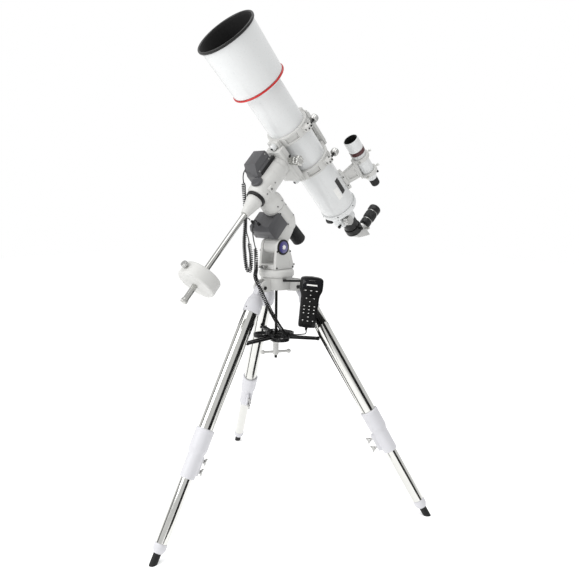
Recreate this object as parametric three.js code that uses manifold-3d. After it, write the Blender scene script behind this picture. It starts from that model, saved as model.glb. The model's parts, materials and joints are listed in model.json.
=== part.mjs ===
// A short refractor telescope on a German equatorial mount and a three-leg field tripod.
// Millimetres, +Z up. The polar axis points to -X, the front leg stands under it.
import * as THREE from 'three';
import { mergeVertices } from 'three/addons/utils/BufferGeometryUtils.js';
import Module from 'manifold-3d';

// ---------------------------------------------------------------- driving dimensions
const GAP = 0.4;                      // clearance between neighbouring pieces

// tripod
const HINGE_R = 82;                   // radius of the leg hinges
const HINGE_Z = 802;                  // height of the leg hinges
const FOOT_R = 552;                   // radius of the feet on the floor
const UPPER_R = 25.4;                 // two-inch upper leg tube
const LOWER_R = 19.5;                 // lower leg tube
const MOUNT_TURN = 3.8;               // the mount stands this far round from the front leg, degrees
const LEG_AZIMUTHS = { a: 180 + MOUNT_TURN, b: 300 + MOUNT_TURN, c: 60 + MOUNT_TURN };
const COLLAR = [267, 428];            // sleeve clamp, along the leg from its tip
const CAP_T = 835;                    // lower edge of the top casting, along the leg
const HEAD = [791, 833];              // bottom and top of the tripod head
const HEAD_R = 56;
const TRAY_Z = 613;
const HANDSET_TURN = THREE.MathUtils.degToRad(-44.4);  // direction across the handset's face
const ROD_R = 5;
const FOOT_TOP = 64;                  // top of the foot, along the leg

// mount
const LATITUDE = 43.5;                // elevation of the polar axis, degrees
const PIVOT_X = -12;                  // latitude pivot, ahead of the azimuth axis
const PIVOT_Z = 939.5;                // height of the latitude pivot
const AXIS_ABOVE_PIVOT = 99;          // polar axis to latitude pivot
const CROSSING = 177;                 // pivot foot to the DEC axis, along the polar axis
const FORK_Y = [30, 42];              // inner and outer face of a fork plate
const RA_JOINT = -84;                 // top of the polar housing, under the RA head
const BARREL_END = -190;              // lower end of the polar housing
const DEC_R = 40;                     // DEC housing
const RA_R = 41;                      // RA drum
const SHAFT_R = 9.5;                  // counterweight shaft
const RING_END = 45;                  // outer face of the setting circle, from the polar axis
const CONE_END = 112;                 // end of the counterweight cone, where the shaft begins
const SHAFT_END = 464;
const WEIGHT_X = 386;                 // counterweight centre, from the polar axis
const WEIGHT_R = 66;
const WEIGHT_T = 48;

// optical tube, distances along it from the DEC axis, front positive
const TUBE_X = -238;                  // optical axis in the mount's own frame
const TUBE_R = 67;
const TUBE = [-322, 240];
const SHIELD = [256, 446];
const SHIELD_R = [93, 97.5];          // dew shield, rear and front
const RING_Z = [54, -99];             // front and rear tube ring
const RING_W = 36;
const RING_R = 77;
const FOOT_X = 79.4;                  // lower ring foot, from the optical axis
const TOP_X = 92;                     // upper ring foot, from the optical axis
const BAR_T = 14;                     // accessory bar thickness
const BAR_Z = [-104, 50];             // ends of the accessory bar
const BAR_SLOT = [-62, 28];
const LUG_Y = 91;                     // clamp bolt, from the optical axis
const SADDLE_Z = [-98, 70];           // rear and front end of the saddle
const SADDLE_X = -143;                // top face of the saddle
const FINDER_ANGLE = 36;              // round the tube from its top, degrees
const FINDER_R = 165;                 // finder axis to optical axis
const FINDER_Z = -18;                 // finder group, along the tube
const PINION = [36, -372];            // focus pinion, below the optical axis and along the tube
const DIAGONAL_TURN = -4;             // diagonal turned from the tube's top, degrees
const CELL = [-352, TUBE[0] - GAP];   // rear cell, along the tube
const BODY_END = -402;                // rear end of the focuser body
const DRAW_END = -462;                // rear end of the drawtube
const DRAW_R = 30;                    // drawtube
const CLAMP_HALF = 14;                // half the length of the drawtube's end clamp
const PRISM_Z = -24;                  // eyepiece port, behind the clamp
const PRISM = [[-36, 0], [20, 0], [20, -14], [-32, -58], [-36, -58]];  // side of the diagonal

// hand controller and cords, in a frame with +X across the controller's face and -Y out of it
const HANDSET = [113, -84, 757];      // middle of the controller
const HANDSET_LEAN = 6;               // degrees
const LEAD_R = 2.4;                   // straight cord
const COIL_R = 6.5;                   // outside of the curly cord
const RA_SOCKETS = [[74, -56], [81, -20]];             // on the RA motor housing, x and y in the mount's frame

// ---------------------------------------------------------------- solids
const wasm = await Module();
wasm.setup();

function toManifold(geometry) {
  const bare = geometry.clone();
  bare.deleteAttribute('normal');
  bare.deleteAttribute('uv');
  const merged = mergeVertices(bare, 1e-4);
  const corners = merged.index.array;
  const kept = [];
  for (let i = 0; i < corners.length; i += 3) {
    const [p, q, r] = [corners[i], corners[i + 1], corners[i + 2]];
    if (p !== q && q !== r && r !== p) kept.push(p, q, r);
  }
  const mesh = { numProp: 3, vertProperties: merged.attributes.position.array, triVerts: new Uint32Array(kept) };
  return new wasm.Manifold(new wasm.Mesh(mesh));
}

function toGeometry(manifold) {
  const mesh = manifold.getMesh();
  const geometry = new THREE.BufferGeometry();
  geometry.setAttribute('position', new THREE.BufferAttribute(new Float32Array(mesh.vertProperties), 3));
  geometry.setIndex(new THREE.BufferAttribute(new Uint32Array(mesh.triVerts), 1));
  geometry.computeVertexNormals();
  return geometry;
}

function join(...parts) {
  return toGeometry(parts.map(toManifold).reduce((whole, part) => whole.add(part)));
}

function cut(base, ...tools) {
  return toGeometry(tools.map(toManifold).reduce((whole, tool) => whole.subtract(tool), toManifold(base)));
}

// A profile of [radius, height] pairs turned about +Z.
function turned(profile, segments = 32) {
  const points = profile.map(([r, z]) => new THREE.Vector2(r, z));
  return new THREE.LatheGeometry(points, segments).rotateX(Math.PI / 2);
}

function rod(radius, z0, z1, segments = 24) {
  return turned([[0, z0], [radius, z0], [radius, z1], [0, z1]], segments);
}

function pipe(outer, inner, z0, z1, segments = 32) {
  return turned([[inner, z0], [outer, z0], [outer, z1], [inner, z1], [inner, z0]], segments);
}

function box([x0, x1], [y0, y1], [z0, z1]) {
  const size = [x1 - x0, y1 - y0, z1 - z0];
  return new THREE.BoxGeometry(...size).translate((x0 + x1) / 2, (y0 + y1) / 2, (z0 + z1) / 2);
}

function extruded(shape, z0, z1, segments = 12) {
  const depth = z1 - z0;
  return new THREE.ExtrudeGeometry(shape, { depth, bevelEnabled: false, curveSegments: segments }).translate(0, 0, z0);
}

function outline(points) {
  return new THREE.Shape(points.map(([x, y]) => new THREE.Vector2(x, y)));
}

// An outline drawn in (x, z) and given its thickness along y.
function sideProfile(points, [y0, y1]) {
  return extruded(outline(points.map(([x, z]) => [x, -z])), y0, y1).rotateX(-Math.PI / 2);
}

// Turning a piece made along +Z so that it points along +X, -X, +Y or -Y.
const alongX = (geometry) => geometry.rotateY(Math.PI / 2);
const alongY = (geometry) => geometry.rotateX(-Math.PI / 2);
const alongMinusY = (geometry) => geometry.rotateX(Math.PI / 2);

// A round section swept along a curve through the given points.
function swept(points, radius, sides, steps) {
  const curve = new THREE.CatmullRomCurve3(points.map((p) => new THREE.Vector3(...p)), false, 'centripetal');
  const section = new THREE.Shape();
  for (let i = 0; i < sides; i += 1) {
    const angle = (2 * Math.PI * i) / sides;
    const [x, y] = [radius * Math.cos(angle), radius * Math.sin(angle)];
    if (i === 0) section.moveTo(x, y);
    else section.lineTo(x, y);
  }
  section.closePath();
  return new THREE.ExtrudeGeometry(section, { extrudePath: curve, steps, bevelEnabled: false });
}

// ---------------------------------------------------------------- materials
const paint = { color: 0xe9e9ea, roughness: 0.28, metalness: 0.0 };
const casting = { color: 0xe4e4e2, roughness: 0.4, metalness: 0.0 };
const legWhite = { color: 0xe2e2e6, roughness: 0.4, metalness: 0.0 };
const steel = { color: 0xb9bbbd, roughness: 0.18, metalness: 1.0 };
const chrome = { color: 0xd2d4d6, roughness: 0.12, metalness: 1.0 };
const motorGrey = { color: 0x4a4a4d, roughness: 0.5, metalness: 0.0 };
const black = { color: 0x17171a, roughness: 0.45, metalness: 0.0 };
const rubber = { color: 0x1a1a1a, roughness: 0.8, metalness: 0.0 };
const red = { color: 0xd3281f, roughness: 0.3, metalness: 0.0 };
const badge = { color: 0x4b4a78, roughness: 0.25, metalness: 0.2 };
const lens = { color: 0x1c2a2e, roughness: 0.05, metalness: 0.0 };

function piece(name, geometry, look, parent) {
  const mesh = new THREE.Mesh(geometry, new THREE.MeshStandardMaterial(look));
  mesh.name = name;
  parent.add(mesh);
  return mesh;
}

// ---------------------------------------------------------------- frames
const model = new THREE.Group();
const tripod = new THREE.Group();
const mount = new THREE.Group();
model.add(tripod, mount);

const altitude = THREE.MathUtils.degToRad(LATITUDE);
const pole = new THREE.Vector3(-Math.cos(altitude), 0, Math.sin(altitude));
const weightSide = new THREE.Vector3(-Math.sin(altitude), 0, -Math.cos(altitude));
const side = new THREE.Vector3(0, -1, 0);

// Polar frame: +Z along the polar axis, +X to the counterweight, +Y to the side, origin where the DEC axis crosses.
const polar = new THREE.Group();
polar.setRotationFromMatrix(new THREE.Matrix4().makeBasis(weightSide, side, pole));
polar.position.set(PIVOT_X, 0, PIVOT_Z);
polar.position.addScaledVector(weightSide, -AXIS_ABOVE_PIVOT).addScaledVector(pole, CROSSING);
mount.add(polar);

// Tube frame: the same directions, origin on the optical axis.
const tube = new THREE.Group();
tube.position.set(TUBE_X, 0, 0);
polar.add(tube);

// ---------------------------------------------------------------- tripod
function tripodHead() {
  const parts = [rod(HEAD_R, HEAD[0], HEAD[1], 24)];
  for (const azimuth of Object.values(LEG_AZIMUTHS)) {
    const turn = THREE.MathUtils.degToRad(azimuth);
    for (const [y0, y1] of [[-20, -12.6], [12.6, 20]]) {
      const ear = box([40, HINGE_R], [y0, y1], [HINGE_Z - 15, HINGE_Z + 24]);
      const nose = alongY(rod(17, y0, y1, 12)).translate(HINGE_R, 0, HINGE_Z + 2);
      parts.push(ear.rotateZ(turn), nose.rotateZ(turn));
    }
    parts.push(alongY(rod(4.6, -26, 26, 10)).translate(HINGE_R, 0, HINGE_Z).rotateZ(turn));
  }
  const hook = [box([22, 34], [-66, -38], [812, 830]), box([22, 104], [-66, -61], [812, 830])];
  parts.push(...hook.map((bar) => bar.rotateZ(HANDSET_TURN)));
  return cut(join(...parts), rod(ROD_R + GAP + 1, HEAD[0] - 5, HEAD[0] + 12, 12));
}

// Leg frame: origin at the tip on the floor, +Z up the leg, +X outwards, +Y across.
function legFrame(azimuth) {
  const outward = new THREE.Group();
  outward.rotation.z = THREE.MathUtils.degToRad(azimuth);
  const line = new THREE.Group();
  line.position.set(FOOT_R, 0, 0);
  line.rotation.y = -Math.atan2(FOOT_R - HINGE_R, HINGE_Z);
  outward.add(line);
  tripod.add(outward);
  return { outward, line };
}

const LEAN = Math.atan2(FOOT_R - HINGE_R, HINGE_Z);
const LEG_LENGTH = Math.hypot(FOOT_R - HINGE_R, HINGE_Z);

function legCap() {
  const hinge = LEG_LENGTH;
  const cup = turned([[0, CAP_T], [30.5, CAP_T], [30.5, CAP_T + 28], [21, CAP_T + 46], [0, CAP_T + 46]], 16);
  const tongue = box([-18, 15], [-12, 12], [CAP_T + 36, hinge]);
  const nose = alongY(rod(15, -12, 12, 14)).translate(0, 0, hinge);
  const bore = rod(UPPER_R + GAP, CAP_T - 5, CAP_T + 30, 16);
  const pinHole = alongY(rod(5.4, -20, 20, 10)).translate(0, 0, hinge);
  return cut(join(cup, tongue, nose), bore, pinHole);
}

function legCollar() {
  const [low, high] = COLLAR;
  const profile = [[0, low], [25, low], [26, low + 76], [31, low + 92], [31, high - 6], [29.5, high], [0, high]];
  const body = turned(profile, 16);
  const lug = box([-36, -15], [-9, 9], [low + 14, low + 76]);
  const parts = [body, lug];
  for (const t of [low + 28, low + 62]) {
    parts.push(alongX(rod(4, -52, -30, 8)).translate(0, 0, t));
    parts.push(box([-60, -48], [-3, 3], [t - 12, t + 12]));
  }
  const upperBore = rod(UPPER_R + GAP, low + 92, high + 5, 16);
  const lowerBore = rod(LOWER_R + GAP, low - 5, low + 95, 16);
  return cut(join(...parts), upperBore, lowerBore);
}

function legFoot() {
  const profile = [[0, -20], [12.5, -20], [12.5, 34], [16, 38], [20, 46], [20, FOOT_TOP], [0, FOOT_TOP]];
  const boot = turned(profile, 14).rotateY(-LEAN);
  const floor = box([-60, 60], [-60, 60], [-80, 0]);
  return cut(boot, floor);
}

function makeLeg(letter, azimuth) {
  const { outward, line } = legFrame(azimuth);
  piece(`leg_cap_${letter}`, legCap(), legWhite, line);
  piece(`leg_tube_${letter}`, pipe(UPPER_R, UPPER_R - 2, COLLAR[0] + 96, CAP_T + 29, 16), steel, line);
  piece(`leg_collar_${letter}`, legCollar(), legWhite, line);
  piece(`leg_extension_${letter}`, pipe(LOWER_R, LOWER_R - 2, FOOT_TOP + GAP, 640, 16), steel, line);
  const foot = piece(`leg_foot_${letter}`, legFoot(), rubber, outward);
  foot.position.set(FOOT_R, 0, 0);
}

function spreaderTray() {
  const parts = [rod(34, TRAY_Z, TRAY_Z + 12, 20)];
  const holes = [rod(ROD_R + GAP, TRAY_Z - 5, TRAY_Z + 20, 12)];
  for (const azimuth of Object.values(LEG_AZIMUTHS)) {
    const turn = THREE.MathUtils.degToRad(azimuth);
    const arm = outline([[20, -15], [150, -9], [157, -14], [157, 14], [150, 9], [20, 15]]);
    parts.push(extruded(arm, TRAY_Z, TRAY_Z + 9).rotateZ(turn));
    const between = turn + Math.PI / 3;
    const [x, y] = [50 * Math.cos(between), 50 * Math.sin(between)];
    parts.push(rod(32, TRAY_Z, TRAY_Z + 12, 18).translate(x, y, 0));
    holes.push(rod(26, TRAY_Z - 5, TRAY_Z + 20, 18).translate(x, y, 0));
  }
  return cut(join(...parts), ...holes);
}

function spreaderHandle() {
  const hub = rod(10, 548, TRAY_Z - GAP, 12);
  const flange = rod(21, TRAY_Z - 14, TRAY_Z - GAP, 16);
  const bar = alongX(rod(4.5, -48, 48, 8)).translate(0, 0, 560);
  const balls = [-48, 48].map((x) => new THREE.SphereGeometry(8, 12, 8).translate(x, 0, 560));
  const whole = join(hub, flange, bar, ...balls);
  return cut(whole, rod(ROD_R + GAP, 540, TRAY_Z + 5, 12)).rotateZ(THREE.MathUtils.degToRad(-30));
}

function makeTripod() {
  piece('tripod_head', tripodHead(), casting, tripod);
  for (const [letter, azimuth] of Object.entries(LEG_AZIMUTHS)) makeLeg(letter, azimuth);
  piece('center_rod', rod(ROD_R, 538, HEAD[0] + 11, 12), steel, tripod);
  piece('spreader_tray', spreaderTray(), black, tripod);
  piece('spreader_handle', spreaderHandle(), casting, tripod);
}

// ---------------------------------------------------------------- mount, azimuth part
function mountBase() {
  const z = HEAD[1] + GAP;
  return turned([[0, z], [58, z], [62, z + 6], [62, z + 22], [57, z + 28], [0, z + 28]], 28);
}

function latitudeFork() {
  const z0 = HEAD[1] + 28 + 2 * GAP;
  const plate = (range) => {
    const foot = sideProfile([[-46, z0], [44, z0], [32, PIVOT_Z - 28], [PIVOT_X + 26, PIVOT_Z],
      [PIVOT_X - 26, PIVOT_Z], [-44, 900]], range);
    const top = alongY(rod(27, range[0], range[1], 28)).translate(PIVOT_X, 0, PIVOT_Z);
    return join(foot, top);
  };
  const block = box([-46, 44], [-FORK_Y[0], FORK_Y[0]], [z0, z0 + 18]);
  const whole = join(plate(FORK_Y), plate([-FORK_Y[1], -FORK_Y[0]]), block);
  const pivotHole = alongY(rod(8.4, -60, 60, 12)).translate(PIVOT_X, 0, PIVOT_Z);
  return cut(whole, pivotHole);
}

function latitudeBolt(reach) {
  const parts = [alongX(rod(4.5, 0, reach, 10)), alongX(rod(8, reach, reach + 10, 12))];
  parts.push(box([reach + 3, reach + 10], [-13, 13], [-4, 4]));
  return join(...parts);
}

function makeAzimuth() {
  piece('mount_base', mountBase(), casting, mount);
  piece('latitude_fork', latitudeFork(), casting, mount);
  const rear = piece('latitude_bolt_rear', latitudeBolt(26), steel, mount);
  rear.position.set(44 + GAP, 0, HEAD[1] + 38);
  const front = piece('latitude_bolt_front', latitudeBolt(18), steel, mount);
  front.rotation.z = Math.PI;
  front.position.set(-46 - GAP, 0, HEAD[1] + 38);
  const cap = piece('pivot_badge', alongMinusY(turned([[0, 0], [27, 0], [27, 4], [24, 7], [0, 7]], 20)), badge, mount);
  cap.position.set(PIVOT_X, -FORK_Y[1] - GAP, PIVOT_Z);
}

// ---------------------------------------------------------------- mount, tilting part
function polarHousing() {
  const [px, pz] = [AXIS_ABOVE_PIVOT, -CROSSING];
  const barrel = turned([[0, BARREL_END], [24, BARREL_END], [36, -162], [38, -142], [38, RA_JOINT], [0, RA_JOINT]], 24);
  const half = FORK_Y[0] - GAP;
  const lug = alongY(rod(25, -half, half, 18)).translate(px, 0, pz);
  const neck = sideProfile([[10, -186], [10, -150], [66, -150], [px + 22, pz + 8], [px - 4, pz - 24]], [-half, half]);
  const trunnion = alongY(rod(8, -FORK_Y[1], FORK_Y[1], 12)).translate(px, 0, pz);
  return join(barrel, lug, neck, trunnion);
}

function raMotorHousing() {
  const [low, high] = [-145, RA_JOINT - 2];
  const edge = [[23, high], [89, high], [99, high - 14], [99, low + 8], [91, low], [23, low]];
  const shell = sideProfile(edge, [-64, 36]);
  const barrel = rod(38 + GAP, low - 20, high + 20, 24);
  const sideCut = box([-60, 60], [0, 60], [-80, 80]).rotateX(0.3).translate(75, 40, (low + high) / 2);
  const plugs = RA_SOCKETS.map(([x, y]) => rod(5, high - 2, high + 12, 10).translate(x, y, 0));
  return cut(join(shell, ...plugs), barrel, sideCut);
}

function makeLatitude() {
  piece('polar_housing', polarHousing(), casting, polar);
  const [near, far] = [BARREL_END - GAP, BARREL_END - 72];
  const cover = turned([[0, far], [22, far], [25, far + 5], [24, near], [0, near]], 20);
  piece('polar_scope_cover', cover, black, polar);
  piece('ra_motor_housing', raMotorHousing(), motorGrey, polar);
}

// ---------------------------------------------------------------- mount, RA part
function raHead() {
  const base = RA_JOINT + GAP;
  const drum = turned([[0, base], [RA_R - 3, base], [RA_R, base + 6], [RA_R, -52], [34, -37], [34, 20], [0, 30]], 28);
  const dec = alongX(turned([[0, -100], [DEC_R, -100], [DEC_R, 24], [32, 35], [0, 35]], 28));
  const window = box([-15, 5], [30, 47], [-11, 11]);
  return join(drum, dec, window);
}

function decMotorHousing() {
  const edge = [[-99, 18], [-12, 18], [-12, 50], [-31, 89], [-96, 89], [-99, 80]];
  const shell = sideProfile(edge, [-44, 10]);
  const strip = box([-115, -30], [-2, 12], [36, 50]);
  const clutch = rod(20, 20, 46, 18).translate(2, 8, 0);
  const barrel = alongX(rod(DEC_R + GAP, -120, 60, 28));
  return cut(join(shell, strip, clutch), barrel);
}

function counterweight() {
  const half = WEIGHT_T / 2;
  const body = turned([[0, -half], [WEIGHT_R - 2, -half], [WEIGHT_R, 2 - half],
    [WEIGHT_R, half - 2], [WEIGHT_R - 2, half], [0, half]], 36);
  const bore = rod(SHAFT_R + GAP, -60, 60, 16);
  const screwHole = alongX(rod(5, -WEIGHT_R - 5, 20 - WEIGHT_R, 10));
  return alongX(cut(body, bore, screwHole));
}

function makeRa() {
  piece('ra_head', raHead(), casting, polar);
  piece('dec_motor_housing', decMotorHousing(), motorGrey, polar);
  piece('dec_setting_circle', alongX(pipe(34, 20, 35 + GAP, RING_END, 24)), black, polar);
  const start = RING_END + GAP;
  const cone = alongX(turned([[0, start], [28, start], [27, 60], [15, CONE_END], [0, CONE_END]], 24));
  piece('counterweight_cone', cone, casting, polar);
  const nut = [[11.5, SHAFT_END], [11.5, SHAFT_END + 11], [9, SHAFT_END + 14], [0, SHAFT_END + 14]];
  const shaft = turned([[0, CONE_END + GAP], [SHAFT_R, CONE_END + GAP], [SHAFT_R, SHAFT_END], ...nut], 16);
  piece('counterweight_shaft', alongX(shaft), chrome, polar);
  const weight = piece('counterweight', counterweight(), casting, polar);
  weight.position.set(WEIGHT_X, 0, 0);
  const screw = turned([[0, -12], [4.4, -12], [4.4, 6], [11, 8], [11, 20], [0, 20]], 12);
  piece('counterweight_screw', screw, chrome, polar).position.set(WEIGHT_X, 0, WEIGHT_R - 3);
}

// ---------------------------------------------------------------- saddle, rings
function saddle() {
  const neck = alongX(turned([[0, -122], [38, -122], [38, -100 - GAP], [0, -100 - GAP]], 20));
  const plate = box([SADDLE_X, -121], [-36, 36], SADDLE_Z);
  const cheeks = [[-36, -24], [25, 36]].map((range) => box([SADDLE_X - 12, -130], range, SADDLE_Z));
  const screws = [-86, 66].map((z) => {
    return alongX(turned([[0, -2], [4, -2], [4, 8], [9, 10], [9, 20], [0, 20]], 10)).translate(-121, 14, z);
  });
  return join(neck, plate, ...cheeks, ...screws);
}

function saddleKnob() {
  return alongY(turned([[0, 0], [6, 0], [6, 8], [15, 10], [15, 32], [18, 34], [18, 50], [16, 53], [0, 53]], 16));
}

function ringHalf(lower) {
  const half = RING_W / 2;
  const facing = lower ? 1 : -1;
  const span = (near, far) => [near * facing, far * facing].sort((p, q) => p - q);
  const band = pipe(RING_R, TUBE_R + GAP, -half, half, 36);
  const halfSpace = box(span(GAP / 2, 120), [-120, 120], [-60, 60]);
  const lug = box(span(GAP / 2, 13), [72, 101], [-9, 9]);
  const hinge = box(span(GAP / 2, 7), [-84, -72], [-14, 14]);
  const foot = lower ? box([72, FOOT_X], [-20, 20], [-half, half]) : box([-TOP_X, -72], [-15, 15], [-half, half]);
  const groove = pipe(RING_R + 5, RING_R - 3.5, -10, 10, 36);
  const pockets = [-52, 52].map((angle) => {
    const window = box(span(20, 100), [-24, 24], [-12, 12]).rotateZ(THREE.MathUtils.degToRad(angle));
    return toGeometry(toManifold(groove).intersect(toManifold(window)));
  });
  const bandHalf = toGeometry(toManifold(band).intersect(toManifold(halfSpace)));
  const bolt = alongX(rod(4.6, -30, 30, 10)).translate(0, LUG_Y, 0);
  const bore = rod(TUBE_R + GAP, -60, 60, 36);
  return cut(join(cut(bandHalf, ...pockets), lug, hinge, cut(foot, bore)), bolt);
}

function clampKnob() {
  const profile = [[0, -13], [4, -13], [4, 20], [12, 20], [14, 24], [14, 36], [11, 40], [0, 40]];
  return alongX(turned(profile, 14)).rotateY(Math.PI);
}

function topBar() {
  const x = TUBE_X - TOP_X - GAP;
  const plate = box([x - BAR_T, x], [-16, 16], BAR_Z);
  const slot = box([x - BAR_T - 5, x + 5], [-4, 4], BAR_SLOT);
  return cut(plate, slot);
}

function makeSaddle() {
  piece('saddle', saddle(), casting, polar);
  piece('saddle_knob', saddleKnob(), chrome, polar).position.set(-136, 36 + GAP, 0);
  const bar = box([SADDLE_X - 15, SADDLE_X - GAP], [-23, 24], [SADDLE_Z[0] - 7, SADDLE_Z[1] + 6]);
  piece('dovetail_bar', bar, casting, polar);
  for (const [name, z] of [['front', RING_Z[0]], ['rear', RING_Z[1]]]) {
    piece(`ring_lower_${name}`, ringHalf(true), casting, tube).position.set(0, 0, z);
    piece(`ring_upper_${name}`, ringHalf(false), casting, tube).position.set(0, 0, z);
    piece(`clamp_knob_${name}`, clampKnob(), steel, tube).position.set(-13.5 - GAP, LUG_Y, z);
  }
  piece('top_bar', topBar(), casting, polar);
}

// ---------------------------------------------------------------- optical tube
function mainTube() {
  return pipe(TUBE_R, TUBE_R - 2, TUBE[0], TUBE[1], 48);
}

function lensCell() {
  const [z0, z1] = [TUBE[1] + GAP, SHIELD[0] - GAP];
  return turned([[TUBE_R - 4, z0], [84, z0], [88, z0 + 3], [88, z1], [TUBE_R - 4, z1], [TUBE_R - 4, z0]], 36);
}

function dewShield() {
  const [z0, z1] = SHIELD;
  const [rear, front] = SHIELD_R;
  const inside = [[front - 1.5, z1 - 2], [rear - 4, z0 + 30], [65, z0 + 30], [65, z0]];
  return turned([[65, z0], [rear, z0], [front, z1 - 9], [103, z1 - 9], [103.5, z1], [100, z1], ...inside], 48);
}

function makeOptics() {
  piece('main_tube', mainTube(), paint, tube);
  piece('lens_cell', lensCell(), paint, tube);
  piece('accent_ring', pipe(99, 88 + GAP, SHIELD[0] - 11, SHIELD[0] - GAP, 36), red, tube);
  piece('dew_shield', dewShield(), paint, tube);
  const z = SHIELD[0] + 2;
  const glass = turned([[0, z], [64.5, z], [64.5, z + 12], [50, z + 15], [25, z + 17], [0, z + 18]], 24);
  piece('objective_lens', glass, lens, tube);
}

// ---------------------------------------------------------------- focuser, diagonal, eyepiece
function rearCell() {
  const [z0, z1] = CELL;
  const cell = turned([[0, z0 + 4], [62, z0 + 4], [70, z0 + 14], [71, z1], [0, z1]], 28);
  const body = turned([[0, BODY_END], [36, BODY_END], [36, z0], [48, z0 + 6], [0, z0 + 6]], 24);
  const gearbox = box([20, 50], [-22, 22], [BODY_END, z0]);
  const bore = rod(DRAW_R + GAP, BODY_END - 10, z1 + 10, 24);
  const pinionBore = alongY(rod(4.4, -30, 30, 10)).translate(PINION[0], 0, PINION[1]);
  return cut(join(cell, body, gearbox), bore, pinionBore);
}

function drawtube() {
  const pipeBody = pipe(DRAW_R, DRAW_R - 4, DRAW_END, CELL[1] + 60, 24);
  const clamp = pipe(34, DRAW_R - 4, DRAW_END - CLAMP_HALF, DRAW_END + CLAMP_HALF, 24);
  return join(pipeBody, clamp);
}

function focusKnobs() {
  const shaft = rod(4, -52, 52, 10);
  const wheel = (z0, z1, radius) => turned([[0, z0], [radius - 2, z0], [radius, z0 + 2],
    [radius, z1 - 2], [radius - 2, z1], [0, z1]], 16);
  const knobs = join(shaft, wheel(-56, -34, 17), wheel(-25, -22.5, 9), wheel(34, 58, 19));
  return alongY(knobs);
}

function diagonal() {
  const nose = rod(25, -1, 20, 18);
  const prism = sideProfile(PRISM, [-24, 24]);
  const port = alongX(rod(24, -44, -26, 18)).translate(0, 0, PRISM_Z);
  return join(nose, prism, port);
}

function eyepiece() {
  const barrel = [[0, 0], [17, 0], [17, 8], [22, 12], [22, 32], [20, 36]];
  const head = [[23, 42], [24, 70], [22, 76], [25, 82], [25, 100], [21, 105], [0, 105]];
  return alongX(turned([...barrel, ...head], 16)).rotateZ(Math.PI);
}

function makeFocuser() {
  piece('rear_cell', rearCell(), paint, tube);
  piece('drawtube', drawtube(), black, tube);
  piece('focus_knobs', focusKnobs(), black, tube).position.set(PINION[0], 0, PINION[1]);
  const holder = new THREE.Group();
  holder.rotation.z = THREE.MathUtils.degToRad(DIAGONAL_TURN);
  holder.position.z = DRAW_END - CLAMP_HALF - GAP;
  tube.add(holder);
  piece('diagonal', diagonal(), chrome, holder);
  piece('eyepiece', eyepiece(), black, holder).position.set(-44 - GAP, 0, PRISM_Z);
}

// ---------------------------------------------------------------- finder
function finderBracket() {
  const foot = box([-TUBE_R - 12, -TUBE_R + 2], [-17, 17], [-268, -190]);
  const [low, high] = [-TUBE_R - 8, -FINDER_R + 28];
  const stalk = sideProfile([[low, -250], [low, -206], [high, -196], [high, -258]], [-9, 9]);
  const rings = [-190, -262].map((z) => pipe(33, 24.5 + GAP, -7, 7, 20).translate(-FINDER_R, 0, z));
  const spine = box([-FINDER_R + 27, -FINDER_R + 37], [-11, 11], [-269, -183]);
  const whole = join(foot, stalk, spine, ...rings);
  const barrel = rod(24.5 + GAP, -320, -150, 20).translate(-FINDER_R, 0, 0);
  return cut(whole, rod(TUBE_R + GAP, -300, -150, 36), barrel);
}

function finderTube() {
  const profile = [[0, -330], [14, -330], [16, -326], [16, -306], [19, -288], [24.5, -280], [24.5, -172],
    [27.5, -166], [28.5, -105], [25.5, -105], [25.5, -150], [0, -150]];
  return turned(profile, 20).translate(-FINDER_R, 0, 0);
}

function makeFinder() {
  const frame = new THREE.Group();
  frame.rotation.z = THREE.MathUtils.degToRad(-FINDER_ANGLE);
  frame.position.z = FINDER_Z;
  tube.add(frame);
  piece('finder_bracket', finderBracket(), casting, frame);
  piece('finder_tube', finderTube(), paint, frame);
}

// ---------------------------------------------------------------- handset and cords

function handset() {
  const right = [[29, -86], [31, 20], [39, 40], [39, 80], [34, 86]];
  const left = right.map(([x, z]) => [-x, z]).reverse();
  const shell = sideProfile([...right, ...left], [-15, 15]);
  const gland = turned([[0, -98], [4, -98], [6, -84], [0, -84]], 10);
  return join(shell, gland);
}

function keypad() {
  const parts = [box([-25, 25], [-19, -16.4], [-76, 18])];
  for (let row = 0; row < 6; row += 1) {
    for (let column = -1; column <= 1; column += 1) {
      const [x, z] = [column * 16, 8 - row * 15];
      parts.push(box([x - 5, x + 5], [-20.5, -18], [z - 4, z + 4]));
    }
  }
  return join(...parts);
}

// The curly cord from the DEC motor hangs in a loop and comes up to the RA motor housing.
const DEC_LEAD = [[-107.4, -40.6, 1200], [-110, -38.4, 1198], [-114, -42, 1188], [-115, -52, 1173],
  [-113, -62, 1158]];
const DEC_COIL = [[-113, -62, 1158], [-112, -48, 1122], [-109, -42, 1089], [-108, -44, 1018], [-111, -50, 947],
  [-106, -54, 889], [-100, -58, 863], [-93, -61, 858], [-88, -62, 874], [-88, -54, 915], [-95, -43, 955]];
const DEC_TAIL = [[-95, -43, 955], [-98, -40, 970], [-104, -34, 990], [-105, -25, 1020], [-104, -19, 1036],
  [-98.6, -11, 1036], [-93.6, -6.2, 1029.9]];

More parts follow.
